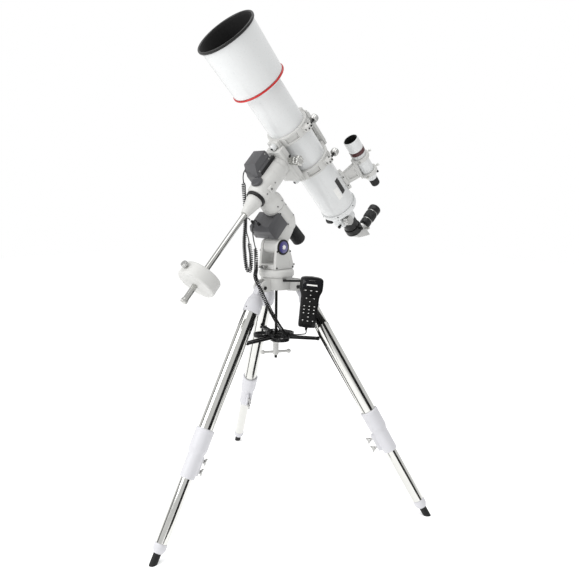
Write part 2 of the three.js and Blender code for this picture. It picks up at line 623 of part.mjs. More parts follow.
// The controller's curly cord drops past the head to the spreader tray, lies on it in a loop
// and rises to the controller.
const HAND_LEAD = [[-68.4, -38.8, 1025.5], [-72.6, -43.3, 1030], [-77.5, -49, 1029], [-81, -54, 1016],
  [-82, -57, 990], [-78, -55, 960], [-73, -52, 938]];
const HAND_COIL = [[-73, -52, 938], [-70, -58, 902], [-69, -80, 866], [-71, -98, 846], [-60, -116, 820],
  [-38, -112, 768], [-11, -92, 712], [14, -64, 664], [30, -44, 640], [42, -22, 632.5], [38, 6, 632.5],
  [14, 22, 632.5], [-12, 20, 632.5], [-30, 2, 632.5]];
const HAND_TAIL = [[-30, 2, 632.5], [-34, -10, 630], [-28, -24, 628.5], [-8, -26, 628.5], [20, -20, 628.5],
  [50, -14, 627], [76, -14, 626.5], [95, -30, 632], [103, -58, 641], [104.2, -84, 656]];

function cordSolid(lead, coil, tail, [leadSteps, coilSteps, tailSteps]) {
  const ends = [swept(lead, LEAD_R, 8, leadSteps), swept(tail, LEAD_R, 8, tailSteps)];
  return join(swept(coil, COIL_R, 8, coilSteps), ...ends);
}

function makeHandset() {
  const frame = new THREE.Group();
  frame.rotation.z = HANDSET_TURN;
  tripod.add(frame);
  const lean = THREE.MathUtils.degToRad(HANDSET_LEAN);
  for (const [name, geometry, look] of [['hand_controller', handset(), black], ['keypad', keypad(), rubber]]) {
    const mesh = piece(name, geometry, look, frame);
    mesh.position.set(...HANDSET);
    mesh.rotation.y = lean;
  }
  piece('dec_cord', cordSolid(DEC_LEAD, DEC_COIL, DEC_TAIL, [8, 24, 9]), rubber, frame);
  piece('handset_cord', cordSolid(HAND_LEAD, HAND_COIL, HAND_TAIL, [8, 34, 18]), rubber, frame);
}

makeHandset();
makeTripod();
makeAzimuth();
makeLatitude();
makeRa();
makeSaddle();
makeOptics();
makeFocuser();
makeFinder();

// The origin is the middle of the whole object's box, on the floor.
const whole = new THREE.Box3().setFromObject(model);
const middle = whole.getCenter(new THREE.Vector3());
model.position.set(-middle.x, -middle.y, -whole.min.z);

export default model;
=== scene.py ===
import json
import bmesh
import bpy
from math import acos, atan2, cos, degrees, pi, radians, sin, sqrt
from mathutils import Matrix, Vector


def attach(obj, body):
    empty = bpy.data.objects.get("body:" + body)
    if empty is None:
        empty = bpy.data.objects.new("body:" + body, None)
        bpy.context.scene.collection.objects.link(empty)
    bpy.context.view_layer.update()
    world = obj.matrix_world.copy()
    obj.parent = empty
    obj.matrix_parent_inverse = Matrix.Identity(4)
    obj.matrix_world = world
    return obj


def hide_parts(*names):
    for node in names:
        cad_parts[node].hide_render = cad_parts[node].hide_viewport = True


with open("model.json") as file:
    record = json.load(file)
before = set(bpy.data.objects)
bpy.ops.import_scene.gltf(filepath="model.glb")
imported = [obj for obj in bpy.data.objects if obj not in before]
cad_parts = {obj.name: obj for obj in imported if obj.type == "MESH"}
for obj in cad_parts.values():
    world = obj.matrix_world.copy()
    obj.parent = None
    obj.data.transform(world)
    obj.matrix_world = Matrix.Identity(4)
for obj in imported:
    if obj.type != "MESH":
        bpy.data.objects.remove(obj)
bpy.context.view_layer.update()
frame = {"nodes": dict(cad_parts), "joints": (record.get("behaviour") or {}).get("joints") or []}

# ---- driving dimensions, in millimetres
MM = 0.001
FOOT_R = 552
LEG_LENGTH = 929.6
TUBE_X = -238
TUBE_R = 67
RING_Z = (54, -99)
FINDER_TURN = -36
FINDER_X = -165
FINDER_Z = -18
FINDER_RINGS = (-190, -262)
DIAGONAL_TURN = -4
DIAGONAL_Z = -476.4
PRISM_Z = -24
PIVOT = (-12, 0, 939.5)
HINGE_R = 82
HINGE_Z = 802
WEIGHT_X = 386
FOCUS_AXIS = (36, 0, -372)
EYEPIECE_X = -44
SHARP_EDGE = radians(35)
LEG_LETTERS = "abc"

# the camera: its heading from +Y to +X, its tilt, and its place from the foot of the mount's axis, in metres
HEADING = radians(44.4)
CAMERA_PITCH = 0.146
CAMERA_ROLL = 0.009
CAMERA_PLACE = Vector((-1.4509, -1.4816, 1.1176))
CAMERA_LENS = 36.87
CAMERA_SHIFT = (0.0226, -0.01295)
SENSOR_WIDTH = 36

# cords, in metres: the wire and its helix
WIRE_D = 0.0038
HELIX_R = 0.0056
PITCH = 0.0066
HELIX_STEPS = 14

# ---- frames
JOINTS = {joint["name"]: joint for joint in frame["joints"]}
UP = Vector((0, 0, 1))


def axis_of(joint):
    return Vector(JOINTS[joint]["axis"]).normalized()


def place_of(joint):
    return Vector(JOINTS[joint]["pos_m"])


def basis(x, y, z, origin, scale=MM):
    turn = Matrix((x, y, z)).transposed().to_4x4()
    return Matrix.Translation(origin) @ turn @ Matrix.Scale(scale, 4)


def turn_about(letter, angle):
    return Matrix.Rotation(radians(angle), 4, letter)


def shift(x, y, z):
    return Matrix.Translation((x, y, z))


POLE = axis_of("ra_axis")
WEIGHT_SIDE = axis_of("dec_axis")
CENTRE = place_of("azimuth_adjust") * Vector((1, 1, 0))
GROUND = Matrix.Translation(CENTRE) @ Matrix.Scale(MM, 4)
MOUNT = basis(WEIGHT_SIDE, POLE.cross(WEIGHT_SIDE), POLE, place_of("ra_axis"))
TUBE = MOUNT @ shift(TUBE_X, 0, 0)
FINDER = TUBE @ turn_about("Z", FINDER_TURN) @ shift(0, 0, FINDER_Z)
HOLDER = TUBE @ turn_about("Z", DIAGONAL_TURN) @ shift(0, 0, DIAGONAL_Z)
PRESS = axis_of("keypad_press")
HAND = basis(PRESS.cross(UP), PRESS, UP, CENTRE)
HANDSET = HAND @ shift(113, -84, 757) @ turn_about("Y", 6)


def leg_azimuth(letter):
    down = axis_of(f"leg_{letter}_length")
    return degrees(atan2(down.y, down.x))


def leg_frame(letter):
    lean = degrees(acos(-axis_of(f"leg_{letter}_length").z))
    return GROUND @ turn_about("Z", leg_azimuth(letter)) @ shift(FOOT_R, 0, 0) @ turn_about("Y", -lean)


# ---- materials
def node(tree, kind, **inputs):
    made = tree.nodes.new(kind)
    for name, value in inputs.items():
        made.inputs[name.replace("_", " ")].default_value = value
    return made


def noise(tree, scale, detail=4.0, stretch=None):
    place = tree.nodes.new("ShaderNodeTexCoord")
    source = place.outputs["Object"]
    if stretch:
        mapping = node(tree, "ShaderNodeMapping", Scale=stretch)
        tree.links.new(source, mapping.inputs["Vector"])
        source = mapping.outputs["Vector"]
    made = node(tree, "ShaderNodeTexNoise", Scale=scale, Detail=detail)
    tree.links.new(source, made.inputs["Vector"])
    return made.outputs["Fac"]


def ranged(tree, source, low, high):
    made = node(tree, "ShaderNodeMapRange", From_Min=0.3, From_Max=0.7, To_Min=low, To_Max=high)
    tree.links.new(source, made.inputs["Value"])
    return made.outputs["Result"]


def mottled(tree, source, colour, amount):
    mix = tree.nodes.new("ShaderNodeMix")
    mix.data_type = "RGBA"
    mix.inputs["A"].default_value = (*[c * (1 - amount) for c in colour], 1)
    mix.inputs["B"].default_value = (*[min(1, c * (1 + amount)) for c in colour], 1)
    tree.links.new(source, mix.inputs["Factor"])
    return mix.outputs["Result"]


def surface(name, colour, roughness, grain, mottle=0.03, constants=None, spread=0.04):
    """A surface whose colour and roughness vary a little, with a fine relief.

    grain is (scale, depth in metres) and may end with a stretch; constants go on the shader's own sockets.
    """
    made = bpy.data.materials.new(name)
    made.use_nodes = True
    tree = made.node_tree
    shader = tree.nodes["Principled BSDF"]
    for key, value in (constants or {}).items():
        shader.inputs[key].default_value = value
    wide = noise(tree, 14.0)
    tree.links.new(mottled(tree, ranged(tree, wide, 0, 1), colour, mottle), shader.inputs["Base Color"])
    fine = noise(tree, 160.0)
    tree.links.new(ranged(tree, fine, roughness - spread, roughness + spread), shader.inputs["Roughness"])
    scale, depth = grain[:2]
    bump = node(tree, "ShaderNodeBump", Strength=1.0, Distance=depth)
    tree.links.new(noise(tree, scale, 3.0, grain[2] if len(grain) > 2 else None), bump.inputs["Height"])
    tree.links.new(bump.outputs["Normal"], shader.inputs["Normal"])
    return made


COAT = {"Coat Weight": 0.6, "Coat Roughness": 0.06}
DULL = {"Specular IOR Level": 0.3}
METAL = {"Metallic": 1.0}
LOOK_TABLE = {
    "tube_paint": ((0.60, 0.61, 0.61), 0.30, (420, 0.00002), 0.012, COAT),
    "casting_paint": ((0.51, 0.51, 0.495), 0.42, (1500, 0.00005), 0.02),
    "leg_paint": ((0.56, 0.56, 0.585), 0.42, (1500, 0.00005), 0.02),
    "polished_steel": ((0.66, 0.66, 0.635), 0.13, (90, 0.00001, (1, 1, 0.05)), 0.03, METAL),
    "chrome": ((0.50, 0.50, 0.48), 0.10, (900, 0.000004), 0.03, METAL),
    "red_ring": ((0.46, 0.010, 0.010), 0.26, (600, 0.00001), 0.05, {"Metallic": 0.25}),
    "black_metal": ((0.007, 0.007, 0.007), 0.30, (1800, 0.00002), 0.1, DULL),
    "black_plastic": ((0.008, 0.008, 0.0085), 0.38, (1200, 0.00006), 0.12, DULL),
    "motor_plastic": ((0.062, 0.062, 0.066), 0.36, (1300, 0.00009), 0.08),
    "rubber": ((0.009, 0.009, 0.009), 0.6, (900, 0.0001), 0.15, DULL),
    "cord_jacket": ((0.006, 0.006, 0.006), 0.3, (1500, 0.00002), 0.1, DULL),
    "silver_anodised": ((0.46, 0.46, 0.45), 0.30, (2200, 0.00002), 0.03, METAL),
    "badge_plastic": ((0.055, 0.050, 0.19), 0.22, (700, 0.00001), 0.10, COAT),
    "lens_glass": ((0.012, 0.030, 0.030), 0.06, (60, 0.000002), 0.2, COAT, 0.02),
    "velvet_black": ((0.004, 0.004, 0.004), 0.85, (900, 0.00008), 0.2),
    "dark_red": ((0.045, 0.002, 0.003), 0.3, (600, 0.00001), 0.05),
    "label_black": ((0.008, 0.008, 0.008), 0.25, (500, 0.000004), 0.1),
    "display": ((0.010, 0.010, 0.012), 0.12, (500, 0.000004), 0.2, COAT),
    "key_white": ((0.72, 0.72, 0.70), 0.5, (1500, 0.00002), 0.03),
}


# ---- shapes, in millimetres
AXES = {
    "z": Matrix.Identity(4),
    "-z": turn_about("X", 180),
    "x": turn_about("Y", 90),
    "-x": turn_about("Y", -90),
    "y": turn_about("X", -90),
    "-y": turn_about("X", 90),
}


def closed_shape(verts, faces):
    shape = bmesh.new()
    made = [shape.verts.new(v) for v in verts]
    for face in faces:
        shape.faces.new([made[i] for i in face])
    bmesh.ops.recalc_face_normals(shape, faces=shape.faces)
    return shape


def soften(points, radius, closed, steps=4):
    """Rounds an outline's corners with short arcs."""
    result = []
    for i, point in enumerate(points):
        here = Vector(point)
        if not closed and i in (0, len(points) - 1):
            result.append(here)
            continue
        before = Vector(points[i - 1]) - here
        after = Vector(points[(i + 1) % len(points)]) - here
        reach = min(radius, before.length * 0.45, after.length * 0.45)
        start = here + before.normalized() * reach
        end = here + after.normalized() * reach
        if before.angle(after) > radians(172):
            result.append(here)
            continue
        for k in range(steps + 1):
            t = k / steps
            result.append((1 - t) ** 2 * start + 2 * t * (1 - t) * here + t ** 2 * end)
    return result


def turned(profile, segments=96, soft=0.8, wave=None):
    """A profile of (radius, height) turned about +Z; wave(angle, radius, height) is added to the radius."""
    closed = profile[0][0] > 0
    verts = []
    rings = []
    for radius, height in soften(profile, soft, closed):
        count = segments if radius > 0.001 else 1
        rings.append(range(len(verts), len(verts) + count))
        for k in range(count):
            angle = 2 * pi * k / segments
            reach = radius + wave(angle, radius, height) if wave and count > 1 else radius
            verts.append((reach * cos(angle), reach * sin(angle), height))
    faces = []
    for low, high in zip(rings, [*rings[1:], rings[0]] if closed else rings[1:]):
        for k in range(segments):
            corners = [low[k % len(low)], low[(k + 1) % len(low)]]
            corners += [high[(k + 1) % len(high)], high[k % len(high)]]
            faces.append(list(dict.fromkeys(corners)))
    return closed_shape(verts, faces)


def solid(profile, *rest, **more):
    """A profile turned about +Z and closed flat at both ends, on the axis."""
    return turned([(0, profile[0][1]), *profile, (0, profile[-1][1])], *rest, **more)


def rod(radius, low, high, soft=0.6, segments=48, wave=None):
    return solid([(radius, low), (radius, high)], segments, soft, wave)


def pipe(outer, inner, low, high, soft=0.5, segments=96, wave=None):
    return turned([(inner, low), (outer, low), (outer, high), (inner, high)], segments, soft, wave)


def slab(outline, low, high, soft=1.0, corner=2.0):
    """An outline in x and y given its thickness along z, with rounded rims."""
    points = soften(outline, corner, True)
    count = len(points)
    verts = [(p[0], p[1], z) for z in (low, high) for p in points]
    faces = [range(count), range(count, 2 * count)]
    faces += [(i, (i + 1) % count, (i + 1) % count + count, i + count) for i in range(count)]
    shape = closed_shape(verts, faces)
    rims = [e for e in shape.edges if abs(e.verts[0].co.z - e.verts[1].co.z) < 1e-6]
    if soft:
        bmesh.ops.bevel(shape, geom=rims, offset=soft, segments=3, profile=0.5, affect="EDGES",
            clamp_overlap=True)
    return shape


def side_slab(outline, low, high, soft=1.0, corner=2.0):
    """An outline in x and z given its thickness along y."""
    shape = slab([(x, -z) for x, z in outline], low, high, soft, corner)
    shape.transform(turn_about("X", -90))
    return shape


def rect(x0, x1, y0, y1):
    return [(x0, y0), (x1, y0), (x1, y1), (x0, y1)]


def block(x, y, z, soft=1.0, corner=2.0):
    return slab(rect(*x, *y), *z, soft, corner)


def cutter(x, y, z):
    """A plain box with sharp edges, to cut with."""
    return block(x, y, z, 0, 0)


def ball(radius, at=(0, 0, 0)):
    arc = [radians(a) for a in range(-90, 91, 10)]
    profile = [(radius * cos(a) if abs(a) < 1.57 else 0, radius * sin(a)) for a in arc]
    return put(turned(profile, 40, 0), at=at)


def put(shape, axis="z", at=(0, 0, 0), turn=0, about="Z"):
    shape.transform(turn_about(about, turn) @ Matrix.Translation(at) @ AXES[axis])
    return shape


def flutes(count, depth, floor):
    """A wave for a knob with rounded flutes on everything outside the radius floor."""
    return lambda angle, radius, height: -depth * (0.5 + 0.5 * cos(count * angle)) if radius > floor else 0


def hex_socket(limit):
    def wave(angle, radius, height):
        if radius > limit:
            return 0
        return radius * (cos(pi / 6) / cos(angle % (pi / 3) - pi / 6) - 1)
    return wave


def cap_screw(radius, height, axis="z", at=(0, 0, 0), turn=0):
    """A socket head screw that stands on its seat."""
    depth = height * 0.35
    socket = radius * 0.55
    profile = [(0, depth), (socket, depth), (socket, height), (radius, height), (radius, -0.6), (0, -0.6)]
    return put(turned(profile, 36, radius * 0.12, hex_socket(socket + 0.01)), axis, at, turn)


def pan_screw(radius, axis="z", at=(0, 0, 0), turn=0):
    """A cross-head screw: a low dome."""
    dome = turned([(0, radius * 0.25), (radius * 0.5, radius * 0.5), (radius, radius * 0.2), (radius, -0.6),
        (0, -0.6)], 28, radius * 0.3)
    return put(dome, axis, at, turn)


# ---- pieces
def added(name, data):
    made = bpy.data.objects.new(name, data)
    bpy.context.scene.collection.objects.link(made)
    return made


def temporary(shape):
    mesh = bpy.data.meshes.new("temporary")
    shape.to_mesh(mesh)
    shape.free()
    return added("temporary", mesh)


def fuse(parts, holes):
    """Joins closed shapes, cuts holes from them, and gives one mesh."""
    holders = [temporary(shape) for shape in [*parts, *holes]]
    base = holders[0]
    for i, tool in enumerate(holders[1:], 1):
        step = base.modifiers.new(f"step{i}", "BOOLEAN")
        step.object = tool
        step.operation = "UNION" if i < len(parts) else "DIFFERENCE"
        step.solver = "MANIFOLD"
    bpy.context.view_layer.update()
    depsgraph = bpy.context.evaluated_depsgraph_get()
    mesh = bpy.data.meshes.new_from_object(base.evaluated_get(depsgraph))
    for holder in holders:
        spare = holder.data
        bpy.data.objects.remove(holder)
        bpy.data.meshes.remove(spare)
    return mesh


def piece(name, look, body, place, parts, nodes=(), holes=(), slot=None):
    """Shapes in millimetres in a local frame, put in the row frame and riding on a body."""
    mesh = fuse(parts, holes)
    mesh.name = name
    mesh.transform(place)
    mesh.shade_smooth()
    mesh.set_sharp_from_angle(angle=SHARP_EDGE)
    mesh.materials.clear()
    mesh.materials.append(LOOKS[look])
    made = added(name, mesh)
    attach(made, body)
    if nodes:
        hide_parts(*nodes)


def riding(body, place):
    """A short form of piece for the pieces of one body in one frame."""
    def add(name, look, parts, *rest, **more):
        piece(name, look, body, place, parts, *rest, **more)
    return add


on_tripod = riding("tripod", GROUND)
on_handset = riding("tripod", HANDSET)
on_latitude = riding("latitude", MOUNT)
on_ra = riding("ra", MOUNT)
on_saddle = riding("telescope", MOUNT)
on_tube = riding("telescope", TUBE)
on_finder = riding("telescope", FINDER)
on_azimuth = riding("azimuth", GROUND)
on_bar = riding("ring_tops", MOUNT)
on_diagonal = riding("diagonal", HOLDER)
on_eyepiece = riding("eyepiece", HOLDER)


# ---- camera and cords
def make_camera():
    data = bpy.data.cameras.new("camera")
    data.sensor_width = SENSOR_WIDTH
    data.lens = CAMERA_LENS
    data.shift_x, data.shift_y = CAMERA_SHIFT
    camera = added("camera", data)
    flat = cos(CAMERA_PITCH)
    look = Vector((sin(HEADING) * flat, cos(HEADING) * flat, -sin(CAMERA_PITCH)))
    turn = look.to_track_quat("-Z", "Y").to_matrix().to_4x4() @ Matrix.Rotation(CAMERA_ROLL, 4, "Z")
    camera.matrix_world = Matrix.Translation(CENTRE + CAMERA_PLACE) @ turn
    bpy.context.scene.camera = camera


def catmull(points, spacing):
    """Points at an even spacing on a smooth curve through the given ones, which are in millimetres."""
    known = [Vector([c * MM for c in p]) for p in points]
    known = [2 * known[0] - known[1], *known, 2 * known[-1] - known[-2]]
    dense = []
    for p0, p1, p2, p3 in zip(known, known[1:], known[2:], known[3:]):
        t1 = sqrt((p1 - p0).length)
        t2 = t1 + sqrt((p2 - p1).length)
        t3 = t2 + sqrt((p3 - p2).length)
        for k in range(24):
            t = t1 + (t2 - t1) * k / 24
            a1 = p0.lerp(p1, t / t1)
            a2 = p1.lerp(p2, (t - t1) / (t2 - t1))
            a3 = p2.lerp(p3, (t - t2) / (t3 - t2))
            b1 = a1.lerp(a2, t / t2)
            b2 = a2.lerp(a3, (t - t1) / (t3 - t1))
            dense.append(b1.lerp(b2, (t - t1) / (t2 - t1)))
    dense.append(known[-2])
    return evenly(dense, spacing)


def evenly(dense, spacing):
    lengths = [0.0]
    for a, b in zip(dense, dense[1:]):
        lengths.append(lengths[-1] + (b - a).length)
    count = max(2, round(lengths[-1] / spacing))
    result = []
    i = 0
    for k in range(count + 1):
        target = lengths[-1] * k / count
        while i < len(dense) - 2 and lengths[i + 1] < target:
            i += 1
        part = (target - lengths[i]) / max(1e-9, lengths[i + 1] - lengths[i])
        result.append(dense[i].lerp(dense[i + 1], part))
    return result


def helix(line):
    """The turns of a curly cord round a line of evenly spaced points, one point per step of a turn."""
    along = (line[1] - line[0]).normalized()
    across = along.orthogonal().normalized()
    last = len(line) - 1
    result = []
    for i, here in enumerate(line):
        ahead = (line[min(i + 1, last)] - line[max(i - 1, 0)]).normalized()
        across = (across - ahead * across.dot(ahead)).normalized()
        turn = 2 * pi * i / HELIX_STEPS
        ease = min(1, i / HELIX_STEPS, (last - i) / HELIX_STEPS)
        arm = across * cos(turn) + ahead.cross(across) * sin(turn)
        result.append(here + arm * HELIX_R * ease)
    return result


def cord_line(lead, coil, tail):
    step = PITCH / HELIX_STEPS
    line = catmull(lead, 0.002)[:-1] + helix(catmull(coil, step)) + catmull(tail, 0.003)[1:]
    return [HAND @ (p / MM) for p in line]


DEC_LEAD = [
    (-107.4, -40.6, 1200), (-110, -38.4, 1198), (-114, -42, 1188), (-115, -52, 1173), (-113, -62, 1158),
]
DEC_COIL = [
    (-113, -62, 1158), (-112, -48, 1122), (-109, -42, 1089), (-108, -44, 1018), (-111, -50, 947),
    (-106, -54, 889), (-100, -58, 863), (-93, -61, 858), (-88, -62, 874), (-88, -54, 915), (-95, -43, 955),
]
DEC_TAIL = [
    (-95, -43, 955), (-98, -40, 970), (-104, -34, 990), (-105, -25, 1020), (-104, -19, 1036),
    (-98.6, -11, 1036), (-93.6, -6.2, 1029.9),
]
HAND_LEAD = [
    (-68.4, -38.8, 1025.5), (-72.6, -43.3, 1030), (-77.5, -49, 1029), (-81, -54, 1016), (-82, -57, 990),
    (-78, -55, 960), (-73, -52, 938),
]
HAND_COIL = [
    (-73, -52, 938), (-70, -58, 902), (-69, -80, 866), (-71, -98, 846), (-60, -116, 820), (-38, -112, 768),
    (-11, -92, 712), (14, -64, 664), (30, -44, 640), (42, -22, 632.5), (38, 6, 632.5), (14, 22, 632.5),
    (-12, 20, 632.5), (-30, 2, 632.5),
]
HAND_TAIL = [
    (-30, 2, 632.5), (-34, -10, 630), (-28, -24, 628.5), (-8, -26, 628.5), (20, -20, 628.5),
    (50, -14, 627), (76, -14, 626.5), (95, -30, 632), (103, -58, 641), (104.2, -84, 656),
]


def wire(name, line):
    data = bpy.data.curves.new(name, "CURVE")
    data.dimensions = "3D"
    data.bevel_depth = WIRE_D / 2
    data.bevel_resolution = 3
    data.use_fill_caps = True
    spline = data.splines.new("POLY")
    spline.points.add(len(line) - 1)
    spline.use_smooth = True
    for point, place in zip(spline.points, line):
        point.co = (*place, 1)
    data.materials.append(LOOKS["cord_jacket"])
    return added(name, data)


def cord_nodes(start):
    return [name for name in sorted(frame["nodes"]) if name.startswith(start)]


def make_cord(name, body, nodes, lead, coil, tail):
    line = cord_line(lead, coil, tail)
    cord = wire(name, line)
    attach(cord, body)
    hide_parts(*nodes)


def make_cords():
    make_cord("handset_curly_cord", "tripod", cord_nodes("handset_cord"), HAND_LEAD,
        HAND_COIL, HAND_TAIL)
    make_cord("dec_curly_cord", "latitude", cord_nodes("dec_cord"), DEC_LEAD, DEC_COIL,
        DEC_TAIL)


# ---- tripod
def make_head():
    drum = solid([(54.5, 791), (56, 793), (56, 831), (54.5, 833)])
    parts = [drum]
    bolts = []
    for letter in LEG_LETTERS:
        turn = leg_azimuth(letter)
        for y0, y1 in ((-20, -12.6), (12.6, 20)):
            ear = [(40, 787), (70, 787), (82, 787), (94, 792), (98.5, 804), (94, 816), (82, 826), (40, 829)]
            parts.append(put(side_slab(ear, y0, y1, 1.2, 5), turn=turn))
            parts.append(put(pipe(9, 4.8, 0, 1.2, 0.4, 40), "y" if y0 > 0 else "-y",
                (HINGE_R, 20 if y0 > 0 else -20, HINGE_Z), turn))
        bolts.append(put(rod(4.2, -25, 25, 0.8), "y", (HINGE_R, 0, HINGE_Z), turn))
        for flip in (1, -1):
            bolts.append(put(solid([(7, 0), (7, 4), (5, 5.5)], 6, 0.5), "y" if flip > 0 else "-y",
                (HINGE_R, 20.6 * flip, HINGE_Z), turn))
    on_tripod("tripod_head_casting", "casting_paint", parts, ["tripod_head"])
    on_tripod("hinge_bolts", "black_metal", bolts)
    hook = [block((22, 34), (-66, -40), (823, 830), 1.2), block((22, 104), (-66, -61), (823, 830), 1.2)]
    piece("handset_hook", "black_plastic", "tripod", HAND, hook)


def make_leg(letter):
    place = leg_frame(letter)
    cap_profile = [(0, 835), (29.8, 835), (30.5, 838), (30.2, 862), (27, 880), (20, 897), (0, 897)]
    parts = [turned(cap_profile, soft=2.5)]
    parts.append(side_slab([(-19, 862), (15, 862), (15, 925), (11, 940), (0, 944.6), (-10, 941),
        (-17, 925)], -12, 12, 2.0, 5))
    holes = [rod(25.8, 820, 863), put(rod(5.0, -20, 20), "y", (0, 0, LEG_LENGTH))]
    add = riding("tripod", place)
    add(f"leg_cap_{letter}_casting", "leg_paint", parts, [f"leg_cap_{letter}"], holes)
    screw = [pan_screw(3, "y", (0, 12.2, 880)), pan_screw(3, "-y", (0, -12.2, 880))]
    screw += [pan_screw(2.6, "-x", (-29.8, 0, 846)), pan_screw(2.6, "x", (29.8, 0, 846))]
    add(f"leg_cap_{letter}_screws", "black_metal", screw)
    tube = pipe(25.4, 23.4, 363, 864, 0.6)
    add(f"leg_tube_{letter}_steel", "polished_steel", [tube], [f"leg_tube_{letter}"])
    make_collar(letter, place)
    make_extension(letter, place)


def make_collar(letter, place):
    profile = [(0, 267), (24.2, 267), (25, 269), (25.6, 300), (26, 343), (28, 352), (30.4, 359), (31, 364),
        (31, 417), (31.6, 419), (31.6, 424), (29.5, 428), (0, 428)]
    parts = [turned(profile, soft=2)]
    parts.append(side_slab([(-37, 281), (-15, 277), (-15, 347), (-37, 343)], -9, 9, 2.5, 4))
    holes = [rod(25.8, 359, 440), rod(19.9, 240, 364), cutter((-60, -20), (-1, 1), (262, 350))]
    add = riding("tripod", place)
    add(f"leg_collar_{letter}_sleeve", "leg_paint", parts, [f"leg_collar_{letter}"], holes)
    wings = []
    for t in (295, 329):
        wings.append(put(rod(4, 0, 17, 0.6), "-x", (-36, 0, t)))
        wings.append(put(rod(6.5, 0, 6, 1.2), "-x", (-45, 0, t)))
        wing = [(-60, t + 12), (-55, t + 12), (-48, t + 4), (-48, t - 4), (-55, t - 12), (-60, t - 12),
            (-57, t)]
        wings.append(side_slab(wing, -2.6, 2.6, 1.2, 2.5))
    add(f"leg_clamp_screws_{letter}", "silver_anodised", wings)


def make_extension(letter, place):
    body = f"leg_extension_{letter}"
    tube = pipe(19.5, 17.5, 64.4, 640, 0.6)
    add = riding(body, place)
    add(f"leg_lower_{letter}_steel", "polished_steel", [tube], [f"leg_extension_{letter}"])
    boot = [(0, -14), (7, -14), (12.2, -9), (12.2, 30), (13, 34), (0, 34)]
    below = cutter((-80, 80), (-80, 80), (-120, 0))
    below.transform(place.inverted() @ GROUND @ turn_about("Z", leg_azimuth(letter)) @ shift(FOOT_R, 0, 0))
    add(f"leg_foot_{letter}_tip", "rubber", [turned(boot, 72, 1.5)], (), [below])
    cap = [(0, 34.4), (15, 34.4), (17, 38), (20.4, 45), (20.9, 48), (20.9, 60), (19.8, 64), (0, 64)]
    add(f"leg_foot_{letter}_cap", "leg_paint", [turned(cap, 72, 1)], [f"leg_foot_{letter}"])


def make_spreader():
    disc = solid([(20, 615), (24, 613), (33, 613), (34, 616), (34, 624), (32, 625), (24, 625), (20, 622)],
        72)
    parts = [disc]
    holes = [rod(5.4, 600, 640)]
    for letter in LEG_LETTERS:
        turn = leg_azimuth(letter)
        arm = [(18, -15), (80, -12), (146, -9), (150, -13), (157, -13.5), (157, 13.5), (150, 13), (146, 9),
            (80, 12), (18, 15)]
        parts.append(put(slab(arm, 613, 622, 1.4, 3), turn=turn))
        holes.append(put(slab([(40, -7), (140, -5), (140, 5), (40, 7)], 618.5, 640, 0.8, 3), turn=turn))
        lobe = turned([(26, 613), (32, 613), (32, 625), (29, 625.5), (26, 625)], 72, 1.2)
        parts.append(put(lobe, at=(50, 0, 0), turn=turn + 60))
        holes.append(put(rod(25.9, 600, 640), at=(50, 0, 0), turn=turn + 60))
    on_tripod("spreader_tray_moulding", "black_plastic", parts, ["spreader_tray"], holes)
    rod_part = rod(5, 538, 802, 0.8)
    on_tripod("center_rod_steel", "black_metal", [rod_part], ["center_rod"])
    hub = solid([(8, 549), (10, 552), (10, 590), (14, 598), (21, 601), (21, 611), (20, 612.6)], 72, 1.5)
    bar = put(solid([(5.2, -49), (4.4, -30), (4.8, -9), (4.8, 9), (4.4, 30), (5.2, 49)], 40, 2), "x",
        (0, 0, 560))
    balls = [ball(8, (x, 0, 560)) for x in (-48, 48)]
    place = GROUND @ turn_about("Z", -30)
    piece("spreader_handle_casting", "casting_paint", "spreader_handle", place, [hub, bar, *balls],
        ["spreader_handle"], [rod(5.4, 530, 640)])


def make_handset():
    right = [(29, -86), (30, -30), (31, 20), (34, 31), (39, 41), (39.5, 62), (38, 82), (24, 86.5), (0, 88)]
    outline = [(0, -88), *right, *[(-x, z) for x, z in reversed(right[:-1])]]
    shell = side_slab(outline, -15, 14, 4, 6)
    inner = side_slab([(x * 0.97, z * 0.985) for x, z in outline], 0, 4, 0, 6)
    rim = [(-26, -78), (26, -78), (27, 22), (34, 38), (35, 47), (-35, 47), (-34, 38), (-27, 22)]
    face = side_slab(rim, -16.6, -13, 0.8, 4)
    gland = [(0, -100), (2.2, -100), (3.6, -98), (6, -84), (0, -84)]
    ribs = turned(gland, 40, 0.5, lambda a, r, z: 0.35 * cos(z * 2.2) if r > 1 else 0)
    on_handset("handset_shell", "black_plastic", [shell, face, ribs, inner], ["hand_controller"])
    glass = side_slab(rect(-32, 32, 48.5, 79), -15.9, -14, 0.6, 3)
    on_handset("handset_display", "display", [glass], slot="black_plastic")
    bar = side_slab(rect(-17, 19, 58, 63), -16.3, -15.5, 0.3, 1)
    mark = side_slab(rect(-12, 10, 74.5, 76.5), -16.3, -15.5, 0.3, 0.6)
    on_handset("handset_display_bar", "key_white", [bar], slot="badge_plastic")
    on_handset("handset_top_bar", "silver_anodised", [mark])
    make_keypad()


